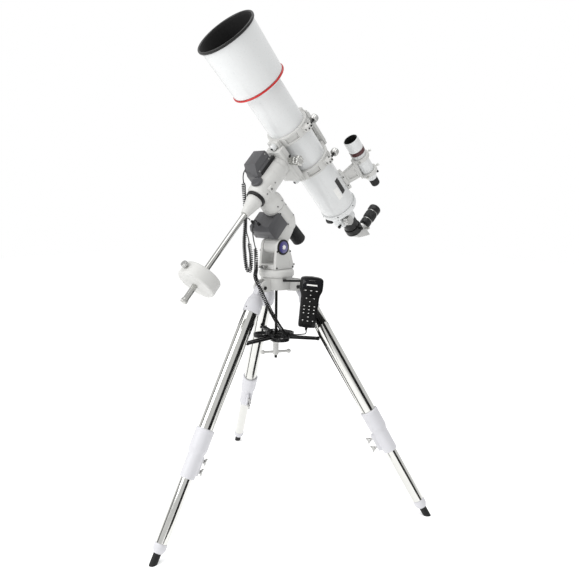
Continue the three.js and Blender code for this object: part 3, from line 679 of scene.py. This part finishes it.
def make_keypad():
    keys = [side_slab(rect(-25, 25, -76, 18), -18.2, -16.7, 0.5, 4)]
    marks = []
    spots = [(x, 42, 6.5, 2.6) for x in (-19, 0, 19)]
    spots += [(0, 27, 4, 3), (-13, 16, 4, 3), (13, 16, 4, 3), (0, 5, 4, 3)]
    spots += [(17 * column, -11 - 12 * row, 5, 3.4) for row in range(3) for column in (-1, 0, 1)]
    spots += [(0, -48, 6, 3), (-17, -60, 5, 3.2), (0, -62, 5, 3.2), (17, -61, 5, 3.2)]
    for x, z, half, rise in spots:
        outline = rect(x - half, x + half, z - rise, z + rise)
        low = -16.7 if z > 20 else -18
        keys.append(side_slab(outline, low - 2.4, low + 0.4, 0.7, 2))
        inner = rect(x - half * 0.45, x + half * 0.45, z - 1.1, z + 1.1)
        marks.append(side_slab(inner, low - 2.6, low - 2, 0.15, 0.8))
    add = riding("keypad", HANDSET)
    add("handset_keys", "rubber", keys, ["keypad"])
    add("handset_key_marks", "key_white", marks, slot="badge_plastic")


# ---- mount
def make_azimuth():
    z = 833.4
    flange = turned([(0, z), (57, z), (58, z + 1), (61.5, z + 6), (62, z + 9), (62, z + 19), (60.5, z + 23),
        (57, z + 27), (54, z + 28), (0, z + 28)], soft=1.5)
    on_azimuth("mount_flange", "casting_paint", [flange], ["mount_base"])
    z0 = 861.8
    parts = [block((-46, 44), (-30.5, 30.5), (z0, z0 + 18), 2, 3)]
    for y0, y1 in ((30, 42), (-42, -30)):
        foot = [(-46, z0), (44, z0), (42, 880), (32, 911.5), (15, 945), (-38, 945), (-44, 900)]
        parts.append(side_slab(foot, y0, y1, 2, 5))
        parts.append(put(rod(27, y0, y1, 2, 96), "y", PIVOT))
    holes = [put(rod(8.4, -80, 80), "y", PIVOT)]
    window = [(-30, 872), (26, 872), (20, 900), (-32, 900)]
    holes += [side_slab(window, y0, y1, 0.6, 6) for y0, y1 in ((41, 60), (-60, -41))]
    on_azimuth("latitude_fork_casting", "casting_paint", parts, ["latitude_fork"], holes)
    screws = []
    for x, height in ((-40, 868), (38, 868), (-38, 925), (24, 924)):
        screws.append(cap_screw(3, 2.2, "-y", (x, -42, height)))
        screws.append(cap_screw(3, 2.2, "y", (x, 42, height)))
    on_azimuth("fork_screws", "black_metal", screws)
    for name, reach, x, axis in (("rear", 26, 44.4, 0), ("front", 18, -46.4, 180)):
        thread = rod(4.5, 0, reach + 2, 0.6, 40, lambda a, r, z: 0.3 * cos(z * 4) if r > 2 else 0)
        bolt = [put(thread, "x"), put(rod(8, reach, reach + 6, 1.2), "x"),
            block((reach + 3, reach + 10), (-13, 13), (-4, 4), 1.6, 3)]
        place = GROUND @ shift(x, 0, 871) @ turn_about("Z", axis)
        piece(f"latitude_bolt_{name}_screw", "silver_anodised", f"latitude_bolt_{name}", place, bolt,
            [f"latitude_bolt_{name}"])
    rim = solid([(27, 0), (27, 3.5), (25, 5), (21, 5), (21, 4)], 96, 0.6)
    place = GROUND @ shift(-12, -42.4, 939.5)
    add = riding("azimuth", place)
    add("pivot_rim", "black_plastic", [put(rim, "-y")], ["pivot_badge"])
    disc = turned([(0, 7), (8, 6.9), (14, 6.4), (20.6, 4.6), (20.6, 3), (0, 3)], 96, 1)
    add("pivot_cap", "badge_plastic", [put(disc, "-y")])
    star = put(turned([(0, 6), (9, 6), (9, 7.3), (0, 7.6)], 80, 0.3, flutes(8, 3, 1)), "-y")
    add("pivot_star", "key_white", [star], slot="badge_plastic")


def make_latitude():
    barrel = solid([(23, -190), (24, -188), (36, -162), (38, -157), (38, -142), (37.3, -141), (37.3, -139),
        (38, -138), (38, -86), (37, -84)], soft=1.5)
    lug = put(rod(25, -29.6, 29.6, 2.5, 96), "y", (99, 0, -177))
    neck = side_slab([(8, -186), (8, -146), (60, -146), (104, -152), (124, -169), (95, -203), (60, -196)],
        -29.6, 29.6, 3, 8)
    trunnion = put(rod(8, -42, 42), "y", (99, 0, -177))
    on_latitude("polar_housing_casting", "casting_paint", [barrel, lug, neck, trunnion], ["polar_housing"])
    turns = (60, 130, 230, 300)
    screws = [put(cap_screw(2.6, 1.8, "x", (37.6, 0, z)), turn=t) for z in (-148, -96) for t in turns]
    on_latitude("polar_housing_screws", "black_metal", screws)
    profile = [(0, -262), (19, -262), (22, -260), (25, -256), (24.4, -206), (24, -204), (24, -191.4),
        (0, -190.4)]
    cover = turned(profile, 120, 1.2, flutes(40, 0.9, 20))
    piece("polar_scope_cover_cap", "black_plastic", "polar_cover", MOUNT, [cover], ["polar_scope_cover"])
    make_ra_motor()


def make_ra_motor():
    edge = [(21, -86), (89, -86), (99, -100), (99, -137), (91, -145), (21, -145)]
    shell = side_slab(edge, -64, 36, 1.6, 2)
    socket = [(5.4, -89), (5.4, -79), (4, -75), (2.6, -74)]
    sockets = [put(solid(socket, 40, 0.6), at=(x, y, 0)) for x, y in ((74, -56), (81, -20))]
    barrel = rod(38.5, -165, -66, 0)
    slope = cutter((-60, 60), (0, 60), (-80, 80))
    slope.transform(shift(75, 40, -115.5) @ Matrix.Rotation(0.3, 4, "X"))
    grooves = [cutter((15, 115), (-30.8, -29.4), (-90, -84.8)),
        cutter((97.8, 115), (-30.8, -29.4), (-150, -80)), cutter((97.8, 115), (-80, 60), (-119, -118))]
    on_latitude("ra_motor_case", "motor_plastic", [shell], ["ra_motor_housing"], [barrel, slope, *grooves])
    on_latitude("ra_motor_sockets", "black_plastic", sockets)
    screws = [pan_screw(2.6, "z", (x, y, -86.2)) for x, y in ((46, -56), (92, -40), (46, 20))]
    screws += [pan_screw(2.6, "x", (98.8, y, z)) for y, z in ((-52, -128), (8, -128), (-52, -108))]
    on_latitude("ra_motor_screws", "black_metal", screws)


def make_ra():
    drum = turned([(0, -83.6), (37, -83.6), (38, -82.6), (41, -77.6), (41, -54), (40.4, -52), (34, -37),
        (34, 20), (0, 30)], soft=1.5)
    dec = put(solid([(39, -100), (40, -98), (40, -64), (39.4, -63.4), (39.4, -62), (40, -61.4), (40, 24),
        (37.5, 28), (33, 34), (31, 35)], soft=1.2), "x")
    window = block((-15, 5), (28, 46.5), (-11, 11), 1.5, 2)
    pocket = block((-12, 2), (45, 60), (-8, 8), 0.8, 2)
    on_ra("ra_head_casting", "casting_paint", [drum, dec, window], ["ra_head"], [pocket])
    dot = put(rod(3.2, 43.5, 45.6, 0.4), "y", (-5, 0, 0))
    screws = [cap_screw(2.4, 1.6, "y", (x, 39.2, 0)) for x in (-34, 18)]
    screws += [put(cap_screw(2.4, 1.6, "x", (40.6, 0, -66)), turn=t) for t in (70, 110, 250, 290)]
    on_ra("ra_head_screws", "black_metal", [dot, *screws])
    make_dec_motor()
    circle = put(pipe(34, 20, 35.6, 45, 0.6, 144,
        lambda a, r, z: -0.5 if r > 33 and cos(36 * a) > 0.8 else 0), "x")
    piece("dec_circle_ring", "black_metal", "dec_circle", MOUNT, [circle], ["dec_setting_circle"])
    cone = put(solid([(27.5, 45.4), (28, 47), (27.4, 58), (26.5, 61), (24, 70), (18, 96), (15.4, 109),
        (14.6, 112)], soft=2), "x")
    on_ra("counterweight_cone_casting", "casting_paint", [cone], ["counterweight_cone"])
    shaft = put(solid([(9.5, 112.4), (9.5, 460), (9.5, 464), (11.5, 465), (11.5, 474), (9, 478)], 72, 0.6,
        lambda a, r, z: -0.5 * (cos(24 * a) > 0) if z > 466 and r > 11 else 0), "x")
    on_ra("counterweight_shaft_bar", "chrome", [shaft], ["counterweight_shaft"])
    make_counterweight()


def make_dec_motor():
    edge = [(-99, 18), (-12, 18), (-12, 50), (-31, 89), (-96, 89), (-99, 80)]
    shell = side_slab(edge, -44, 10, 1.4, 2)
    barrel = put(rod(40.5, -130, 60, 0, 96), "x")
    seams = [cutter((-110, 10), (-45, -43.2), (61.6, 62.6)), cutter((-110, 10), (9.2, 12), (61.6, 62.6)),
        cutter((-110, -30), (-18.6, -17.4), (88.2, 95))]
    on_ra("dec_motor_case", "motor_plastic", [shell], ["dec_motor_housing"], [barrel, *seams])
    strip = block((-114.5, -30), (-2, 12), (36, 49.6), 1.2, 2)
    on_ra("dec_motor_base", "black_plastic", [strip], (), [put(rod(40.6, -130, 60, 0, 96), "x")])
    clutch = solid([(20, 34), (20, 45), (18.5, 46), (13, 46), (12, 45)], 96, 0.8, flutes(24, 0.6, 19))
    on_ra("dec_clutch_knob", "motor_plastic", [put(clutch, at=(2, 8, 0))], (),
        [put(rod(40.6, -130, 60, 0, 96), "x")])
    dial = put(turned([(0, 0), (15, 0), (15, 3), (13, 4.6), (0, 5)], 72, 0.6, flutes(20, 0.5, 14)), "-y",
        (-34, -43.8, 62))
    on_ra("dec_motor_dial", "black_plastic", [dial])
    screws = [pan_screw(2.6, "y", (x, 10.2, z)) for x, z in ((-90, 56), (-30, 56), (-88, 80))]
    screws += [pan_screw(2.6, "-y", (x, -44.2, z)) for x, z in ((-92, 54), (-90, 80), (-40, 82))]
    on_ra("dec_motor_screws", "chrome", screws)


def make_counterweight():
    body = solid([(62, -24), (66, -20), (66, 20), (62, 24)], 144, 2.2)
    bore = rod(9.9, -60, 60, 0)
    hole = put(rod(5.2, 46, 80, 0), "-x")
    place = MOUNT @ shift(WEIGHT_X, 0, 0) @ turn_about("Y", 90)
    piece("counterweight_disc", "casting_paint", "counterweight", place, [body], ["counterweight"],
        [bore, hole])
    screw = solid([(4.4, -12), (4.4, 4), (7, 6), (11, 8), (11, 19), (9.5, 20)], 72, 0.8,
        flutes(14, 1.1, 10))
    place = MOUNT @ shift(WEIGHT_X, 0, 63)
    piece("counterweight_thumbscrew", "silver_anodised", "counterweight_screw", place, [screw],
        ["counterweight_screw"])


# ---- saddle and rings
def make_saddle():
    neck = put(solid([(36, -122), (38, -119), (38, -102), (37, -100.4)], 96, 1), "x")
    base = block((-143, -121), (-36, 36), (-80, 54), 2, 6)
    near = block((-155, -130), (-36, -24.5), (-80, 54), 2, 4)
    far = block((-155, -130), (25, 36), (-80, 54), 2, 4)
    lighten = [block((-130, -110), (41, 60), (-60, 40), 0.5, 4)]
    lighten += [cutter((-134.8, -133.8), y, (-120, 90)) for y in ((34.8, 50), (-50, -34.8))]
    on_saddle("saddle_casting", "casting_paint", [neck, base, near, far], ["saddle"], lighten)
    ends = (-92, 65)
    head = [(0, -2), (8, -2), (10.5, 0), (11.5, 3), (11.5, 12), (9, 17), (5, 18.5), (0, 18.5)]
    screws = [put(turned(head, 48, 2), "x", (-143, 6, z)) for z in ends]
    on_saddle("ring_mount_screws", "tube_paint", screws)
    sockets = [put(rod(5, 17.6, 19.2, 0.2, 6), "x", (-143, 6, z)) for z in ends]
    on_saddle("ring_mount_sockets", "black_metal", sockets)
    stop = put(rod(5.4, 35.2, 36.4, 0.4), "y", (-148.5, 0, 10))
    on_saddle("saddle_stop_screw", "black_metal", [stop])
    knob = solid([(6, 0), (6, 8), (12, 9), (15, 11), (15, 30), (13, 33), (16, 34.5), (18, 36), (18, 49),
        (16, 52), (10, 53), (8, 51.5)], 120, 1, flutes(8, 3.0, 14.5))
    piece("saddle_knob_chrome", "chrome", "saddle_knob", MOUNT @ shift(-136, 36.4, 0), [put(knob, "y")],
        ["saddle_knob"])
    bar = side_slab(rect(-158, -143.4, -105, 76), -23, 24, 1.2, 2)
    slots = [cutter((-151.4, -150.2), y, (-120, 90)) for y in ((22.6, 30), (-30, -21.6))]
    on_saddle("dovetail_rail", "casting_paint", [bar], ["dovetail_bar"], slots)


def arc_pocket(middle):
    """A shallow curved pocket in the outside of a ring, 36 degrees long, round the angle middle."""
    angles = [radians(middle + step) for step in range(-18, 19, 3)]
    inner = [(70.6 * cos(a), 70.6 * sin(a)) for a in angles]
    outer = [(90 * cos(a), 90 * sin(a)) for a in reversed(angles)]
    return slab([*inner, *outer], -10.5, 10.5, 0, 0.5)


def ring_bores():
    return [rod(67.4, -40, 40, 0, 144), put(rod(4.6, -20, 20), "x", (0, 91, 0))]


def make_rings():
    for name, z in (("front", RING_Z[0]), ("rear", RING_Z[1])):
        place = TUBE @ shift(0, 0, z)
        lower = [*half_ring(1), block((70, 79.4), (-20, 20), (-17, 17), 1, 3)]
        upper = [*half_ring(-1), block((-92, -70), (-15, 15), (-17, 17), 1, 3)]
        low_cut = cutter((-120, 0.15), (-120, 120), (-60, 60))
        high_cut = cutter((-0.15, 120), (-120, 120), (-60, 60))
        on_lower = riding("telescope", place)
        on_lower(f"ring_lower_{name}_casting", "casting_paint", lower, [f"ring_lower_{name}"],
            [*ring_bores(), low_cut, arc_pocket(46), arc_pocket(-46)])
        on_upper = riding("ring_tops", place)
        on_upper(f"ring_upper_{name}_casting", "casting_paint", upper, [f"ring_upper_{name}"],
            [*ring_bores(), high_cut, arc_pocket(134), arc_pocket(226)])
        knob = turned([(4.2, 20), (11, 20), (14, 23), (14, 36), (11.5, 40), (7.5, 40), (6, 37), (4.2, 37)],
            96, 1, flutes(16, 0.8, 13))
        knob_place = place @ shift(-13.9, 91, 0)
        on_knob = riding(f"clamp_knob_{name}", knob_place)
        on_knob(f"clamp_knob_{name}_knob", "silver_anodised", [put(knob, "-x")], [f"clamp_knob_{name}"])
        bolt = solid([(4, -13), (4, 36), (3, 37.4)], 48, 0.4)
        on_knob(f"clamp_bolt_{name}", "black_metal", [put(bolt, "-x")])
        screws = [cap_screw(3.4, 2.4, "y", (-6.6, 101, 0)), cap_screw(3, 2, "z", (-8, 92, 9))]
        on_upper(f"clamp_lug_screw_{name}", "black_metal", screws)
        pin = [cap_screw(2.8, 2, "y", (6.6, 101, 0))]
        on_lower(f"clamp_lug_pin_{name}", "black_metal", pin)


def half_ring(side):
    """The band, clamp lug and hinge of one half of a tube ring; side is 1 below the tube and -1 above it."""
    band = turned([(60, -18), (75.5, -18), (77, -16.5), (77, 16.5), (75.5, 18), (60, 18)], 160, 0.8)
    across = sorted((side * 13.0, -side * 6.0))
    lug = block(across, (66, 101), (-9, 9), 1.6, 3)
    hinge = put(rod(6.8, -14, 14, 0.8), at=(side * 1.0, -77.5, 0))
    return [band, lug, hinge]


def make_top_bar():
    bar = slab(rect(-344.4, -330.4, -16, 16), -104, 50, 1.2, 2)
    slot = block((-360, -320), (-4, 4), (-62, 28), 0.4, 3.9)
    steps = [cutter((-360, -339), (-30, 30), (38, 70)), cutter((-360, -341), (-30, 30), (-120, -92))]
    on_bar("accessory_bar_top", "casting_paint", [bar], ["top_bar"], [slot, *steps])
    screws = [cap_screw(6, 3.4, "-x", (x, 0, z)) for x, z in ((-344, -80), (-338.6, 44))]
    on_bar("accessory_bar_screws", "black_metal", screws)
    profile = [(0, -2), (3.6, -2), (3.6, 0), (9, 0.2), (9, 6), (7.5, 7.4), (0, 7.4)]
    camera_screw = put(turned(profile, 60, 0.6, flutes(20, 0.6, 8.6)), "-x", (-344.4, 0, -18))
    on_bar("accessory_camera_screw", "black_metal", [camera_screw])


# ---- optical tube
def curved_label(middle, half, low, high):
    """A thin label on the tube: half its angle each way from middle, and its ends along the tube."""
    angles = [radians(middle + half * k / 6) for k in range(-6, 7)]
    inner = [(66.9 * cos(a), 66.9 * sin(a)) for a in angles]
    outer = [(67.3 * cos(a), 67.3 * sin(a)) for a in reversed(angles)]
    return slab([*inner, *outer], low, high, 0, 0)


def make_labels():
    on_tube("tube_label_dark", "label_black", [curved_label(92, 8.5, -258, -192)], slot="black_metal")
    on_tube("tube_label_light", "key_white", [curved_label(71, 8, -266, -216)], slot="tube_paint")


def make_tube():
    tube = pipe(67, 65, -322, 240, 0.6, 160)
    on_tube("main_tube_barrel", "tube_paint", [tube], ["main_tube"])
    cell = turned([(63, 240.4), (82, 240.4), (84, 242), (88, 254), (88, 255.6), (63, 255.6)], 160, 1)
    on_tube("lens_cell_ring", "tube_paint", [cell], ["lens_cell"])
    accent = turned([(88.4, 249.6), (94.8, 249.6), (96.4, 250.8), (96.4, 254.6), (95.4, 255.6),
        (88.4, 255.6)], 160, 1)
    on_tube("accent_ring_red", "red_ring", [accent], ["accent_ring"])
    shield = turned([(89, 258), (92.4, 256), (93, 257.5), (97.4, 436.6), (94, 436.6)], 160, 0.4)
    floor = turned([(65, 256), (92, 256), (92, 285), (89, 286), (65, 286)], 160, 0.6)
    on_tube("dew_shield_shell", "tube_paint", [shield], ["dew_shield"])
    rim = turned([(94, 436.8), (101.5, 436.8), (103, 438.5), (103.5, 441), (103.5, 444.5), (101.8, 446),
        (98.8, 446), (96.2, 444), (95.4, 438)], 160, 1)
    on_tube("dew_shield_rim", "black_metal", [rim])
    liner = turned([(88, 286.4), (88.8, 286.4), (93.9, 436.4), (95.2, 444.2), (94.6, 444.2), (93.1, 436.4)],
        160, 0.2)
    on_tube("dew_shield_liner", "velvet_black", [liner], slot="black_metal")
    on_tube("dew_shield_floor", "velvet_black", [floor], slot="black_metal")
    lens = turned([(0, 258), (64.4, 258), (64.4, 270), (50, 272.6), (32, 274.6), (0, 276)], 128, 1)
    on_tube("objective_glass", "lens_glass", [lens], ["objective_lens"])
    keeper = turned([(60, 271.6), (64.6, 271.6), (64.6, 278), (60, 276)], 128, 0.4)
    on_tube("objective_keeper", "black_metal", [keeper])


def make_focuser():
    cell = turned([(30.4, -402), (34.5, -402), (36, -400), (36, -354), (40, -349.5), (48, -348.6),
        (60, -348), (66, -346), (70, -339), (71.2, -330), (71.2, -324), (70.4, -322.4), (64, -322.4),
        (30.4, -322.4)], 144, 1.5)
    box = side_slab([(18, -402), (50, -400), (50, -356), (44, -352), (18, -352)], -22, 22, 2, 4)
    bore = rod(30.4, -420, -300, 0, 96)
    on_tube("rear_cell_casting", "tube_paint", [cell, box], ["rear_cell"], [bore])
    screws = [put(cap_screw(2.4, 1.6, "x", (70.6, 0, -328)), turn=t) for t in range(30, 390, 60)]
    lock = solid([(4, 0), (4, 6), (6, 7), (6, 14), (5, 15)], 48, 0.5, flutes(14, 0.7, 5))
    screws.append(put(lock, "x", (49.6, 8, -386)))
    on_tube("rear_cell_screws", "black_metal", screws)
    draw = pipe(30, 26, -462, -262.4, 0.6)
    on_drawtube = riding("drawtube", TUBE)
    on_drawtube("drawtube_black", "black_metal", [draw], ["drawtube"])
    clamp = turned([(26, -476), (31, -476), (34, -473), (34, -468), (33.2, -467), (33.2, -465), (34, -464),
        (34, -451), (33, -448), (26, -448)], 160, 0.8, flutes(60, 0.5, 33.9))
    screw = solid([(4, -4), (4, 4), (6, 5), (6, 13), (5, 14)], 48, 0.5, flutes(12, 0.8, 5))
    on_drawtube("drawtube_clamp", "black_metal", [clamp, put(screw, "y", (0, 33, -459))])
    make_focus_knobs()


def make_focus_knobs():
    place = TUBE @ shift(*FOCUS_AXIS)
    shaft = put(rod(4, -52, 50, 0.6), "y")
    add = riding("focus_knobs", place)
    add("focus_shaft", "chrome", [shaft], ["focus_knobs"])
    left = put(solid([(14, -56), (17, -53.5), (17, -37), (15, -34), (8, -33), (8, -26)], 120, 1.2,
        flutes(20, 1.1, 16)), "y")
    add("focus_knob_black", "black_plastic", [left])
    right = put(solid([(8, 26), (8, 33), (17, 34), (19, 37), (19, 54), (16.5, 58), (9, 57)], 120, 1.2,
        flutes(8, 2.2, 16)), "y")
    add("focus_knob_silver", "silver_anodised", [right])


def make_diagonal():
    nose = solid([(24.8, -2), (24.8, 12), (23.6, 13), (23.6, 17), (24.8, 18), (24.8, 20)], 96, 0.6)
    prism = side_slab([(-36, 0), (20, 0), (20, -14), (-32, -58), (-36, -58)], -24, 24, 1.6, 2)
    port = put(solid([(22, 26), (24, 30), (24, 43), (22.5, 44)], 96, 1), "-x", (0, 0, PRISM_Z))
    on_diagonal("diagonal_body", "silver_anodised", [nose, prism, port], ["diagonal"])
    grip = solid([(3, 0), (3, 5), (5, 6), (5, 13), (4, 14)], 48, 0.5, flutes(12, 0.7, 4))
    screws = [put(grip, "y", (-40, 22, PRISM_Z))]
    screws += [pan_screw(2, "y", (x, 24, z)) for x, z in ((-30, -8), (14, -8), (-30, -50))]
    on_diagonal("diagonal_screws", "chrome", screws)
    back = slab(rect(-27, 27, -19, 19), -0.6, 1.6, 0.5, 3)
    back.transform(shift(-6, 0, -36) @ turn_about("Y", 139.8))
    on_diagonal("diagonal_mirror_plate", "black_metal", [back])
    make_eyepiece()


def make_eyepiece():
    ribs = flutes(60, 0.7, 23)

    def grip(angle, radius, height):
        return ribs(angle, radius, height) if 44 < height < 70 else 0

    profile = [(0, 0.4), (17, 0.4), (17, 8), (21, 11), (22, 13), (22, 30), (20.4, 33), (20.4, 37), (23, 42),
        (24.2, 46), (24.2, 68), (22, 74), (22, 77), (24.4, 81), (25, 84), (25, 98), (23.5, 102), (20, 105),
        (17, 104), (15, 100), (0, 99)]
    body = put(turned(profile, 180, 0.8, grip), "-x", (EYEPIECE_X, 0, PRISM_Z))
    on_eyepiece("eyepiece_barrel", "black_plastic", [body], ["eyepiece"])
    for name, height in (("low", 35), ("high", 75.4)):
        band = pipe(22.5 if name == "high" else 20.9, 20, height - 0.8, height + 0.8, 0.2)
        on_eyepiece(f"eyepiece_band_{name}", "chrome", [put(band, "-x", (EYEPIECE_X, 0, PRISM_Z))])
    glass = put(turned([(0, 98), (14.6, 98), (14.6, 100), (8, 101.4), (0, 102)], 72, 0.5), "-x",
        (EYEPIECE_X, 0, PRISM_Z))
    on_eyepiece("eyepiece_glass", "lens_glass", [glass])


def make_finder():
    foot = block((-79, -63), (-17, 17), (-268, -190), 1.5, 4)
    stalk = side_slab([(-74, -252), (-74, -204), (-139, -194), (-139, -260)], -9, 9, 2, 4)
    waist = [(-88, -240), (-88, -216), (-122, -210), (-122, -246)]
    pockets = [side_slab(waist, y0, y1, 0.8, 6) for y0, y1 in ((5, 20), (-20, -5))]
    spine = block((-138, -128), (-11, 11), (-269, -183), 1.5, 3)
    rings = [put(pipe(33, 24.9, -7, 7, 1.2, 96), at=(FINDER_X, 0, z)) for z in FINDER_RINGS]
    bore = rod(TUBE_R + 0.4, -400, 0, 0, 144)
    holes = [put(rod(24.9, -300, -150, 0, 96), at=(FINDER_X, 0, 0)), bore, *pockets]
    on_finder("finder_bracket_casting", "casting_paint", [foot, stalk, spine, *rings], ["finder_bracket"],
        holes)
    thumb = [(0, -4), (2.6, -4), (2.6, 5), (5, 6), (5, 11), (4, 12), (0, 12)]

    def thumbscrew(x, z, turn):
        screw = turned(thumb, 40, 0.5, flutes(12, 0.7, 4))
        return put(put(screw, "x", (x, 0, z), turn), at=(FINDER_X, 0, 0))

    screws = [thumbscrew(33.2, z, turn) for z in FINDER_RINGS for turn in (60, 180, 300)]
    on_finder("finder_thumbscrews", "chrome", screws)
    on_finder("finder_lock_knob", "black_plastic", [thumbscrew(20, -286, 180)])
    foot_screws = [cap_screw(2.6, 1.6, "y", (-71, 17, z)) for z in (-250, -208)]
    on_finder("finder_foot_screws", "black_metal", foot_screws)
    make_finder_tube(FINDER @ shift(FINDER_X, 0, 0))


def make_finder_tube(place):
    tube = [(0, -328), (12.5, -328), (12.5, -298), (17.6, -297.4), (19, -288), (22, -284), (24.5, -280),
        (24.5, -172), (27.5, -166), (28.2, -106), (27.4, -105), (25.5, -105), (25.5, -150), (0, -150)]
    add = riding("telescope", place)
    add("finder_barrel", "tube_paint", [turned(tube, 96, 0.8)], ["finder_tube"])
    cup = turned([(10, -330), (14.5, -330), (16.4, -326), (17, -300), (16.5, -297.8), (12.7, -297.8),
        (12.7, -326.5), (10, -327)], 96, 0.6, flutes(36, 0.4, 15.9))
    add("finder_eyecup", "rubber", [cup])
    band = turned([(25.6, -168), (27.6, -168), (28.5, -166), (28.9, -152), (28.4, -151), (25.6, -151)], 96,
        0.4)
    add("finder_band", "dark_red", [band], slot="red_ring")
    inside = turned([(24.9, -149), (25.4, -149), (25.4, -105.6), (25, -105.6)], 96, 0.1)
    add("finder_liner", "velvet_black", [inside], slot="black_metal")
    glass = turned([(0, -150), (24.8, -150), (24.8, -146), (12, -144.4), (0, -144)], 96, 0.5)
    add("finder_glass", "lens_glass", [glass])


# ---- stage
RIGHT = Vector((cos(HEADING), -sin(HEADING), 0))
AWAY = Vector((sin(HEADING), cos(HEADING), 0))
WORLD_LIGHT = 0.78
CARD_GAP = 0.26
FLOOR_GLOW = 0.3
LEG_CARDS = (("wide", 46, 0.20), ("thin", -80, 0.075))


def make_stage():
    size = 9
    mesh = bpy.data.meshes.new("floor")
    corners = [(-size, -size, 0), (size, -size, 0), (size, size, 0), (-size, size, 0)]
    mesh.from_pydata(corners, [], [(0, 1, 2, 3)])
    paper = {"Emission Color": (1, 1, 1, 1), "Emission Strength": FLOOR_GLOW}
    mesh.materials.append(surface("floor_white", (0.93, 0.93, 0.93), 0.8, (300, 0.00002), 0.004, paper))
    added("floor", mesh)


def area_light(name, place, target, size, power):
    data = bpy.data.lights.new(name, "AREA")
    data.shape = "RECTANGLE"
    data.size, data.size_y = size
    data.energy = power
    light = added(name, data)
    aim = (Vector(target) - Vector(place)).to_track_quat("-Z", "Y").to_matrix().to_4x4()
    light.matrix_world = Matrix.Translation(place) @ aim


def dark_card(name, place, width, height):
    """A black card that only reflections see: it draws the dark streaks on polished metal."""
    mesh = bpy.data.meshes.new(name)
    x, y = width / 2, height / 2
    mesh.from_pydata([(-x, -y, 0), (x, -y, 0), (x, y, 0), (-x, y, 0)], [], [(0, 1, 2, 3)])
    mesh.materials.append(LOOKS["velvet_black"])
    card = added(name, mesh)
    card.matrix_world = place
    for sees in ("visible_camera", "visible_diffuse", "visible_shadow", "visible_transmission"):
        setattr(card, sees, False)


def leg_cards(letter):
    """Two long cards beside a leg, parallel to it."""
    frame_of_leg = leg_frame(letter)
    along = (frame_of_leg.to_3x3() @ Vector((0, 0, 1))).normalized()
    middle = frame_of_leg @ Vector((0, 0, LEG_LENGTH / 2))
    facing = -AWAY
    facing = (facing - along * facing.dot(along)).normalized()
    for name, turn, width in LEG_CARDS:
        out = Matrix.Rotation(radians(turn), 3, along) @ facing
        place = basis(out.cross(along), along, -out.cross(along).cross(along), middle + out * CARD_GAP, 1)
        dark_card(f"card_{name}_{letter}", place, width, 1.3)


def make_world():
    """Even white light all round, and a pure white background."""
    world = bpy.data.worlds.new("studio")
    world.use_nodes = True
    tree = world.node_tree
    lit = tree.nodes["Background"]
    lit.inputs["Color"].default_value = (1, 1, 1, 1)
    lit.inputs["Strength"].default_value = WORLD_LIGHT
    seen = node(tree, "ShaderNodeBackground", Color=(1, 1, 1, 1), Strength=1.0)
    path = tree.nodes.new("ShaderNodeLightPath")
    mix = tree.nodes.new("ShaderNodeMixShader")
    tree.links.new(path.outputs["Is Camera Ray"], mix.inputs[0])
    tree.links.new(lit.outputs[0], mix.inputs[1])
    tree.links.new(seen.outputs[0], mix.inputs[2])
    tree.links.new(mix.outputs[0], tree.nodes["World Output"].inputs["Surface"])
    bpy.context.scene.world = world
    bpy.context.scene.view_settings.view_transform = "Standard"


def make_lights():
    target = CENTRE + UP * 0.9
    area_light("key", target - RIGHT * 2.6 - AWAY * 1.6 + UP * 1.5, target, (2.4, 2.4), 75)
    area_light("top", target + UP * 2.8 - AWAY * 0.4, target, (2.5, 2.5), 40)
    for letter in LEG_LETTERS:
        leg_cards(letter)


# ---- the whole
LOOKS = {name: surface(name, *row) for name, row in LOOK_TABLE.items()}

make_camera()
make_cords()
make_head()
for leg_letter in LEG_LETTERS:
    make_leg(leg_letter)
make_spreader()
make_handset()
make_azimuth()
make_latitude()
make_ra()
make_saddle()
make_rings()
make_top_bar()
make_tube()
make_labels()
make_focuser()
make_diagonal()
make_finder()
make_stage()
make_world()
make_lights()
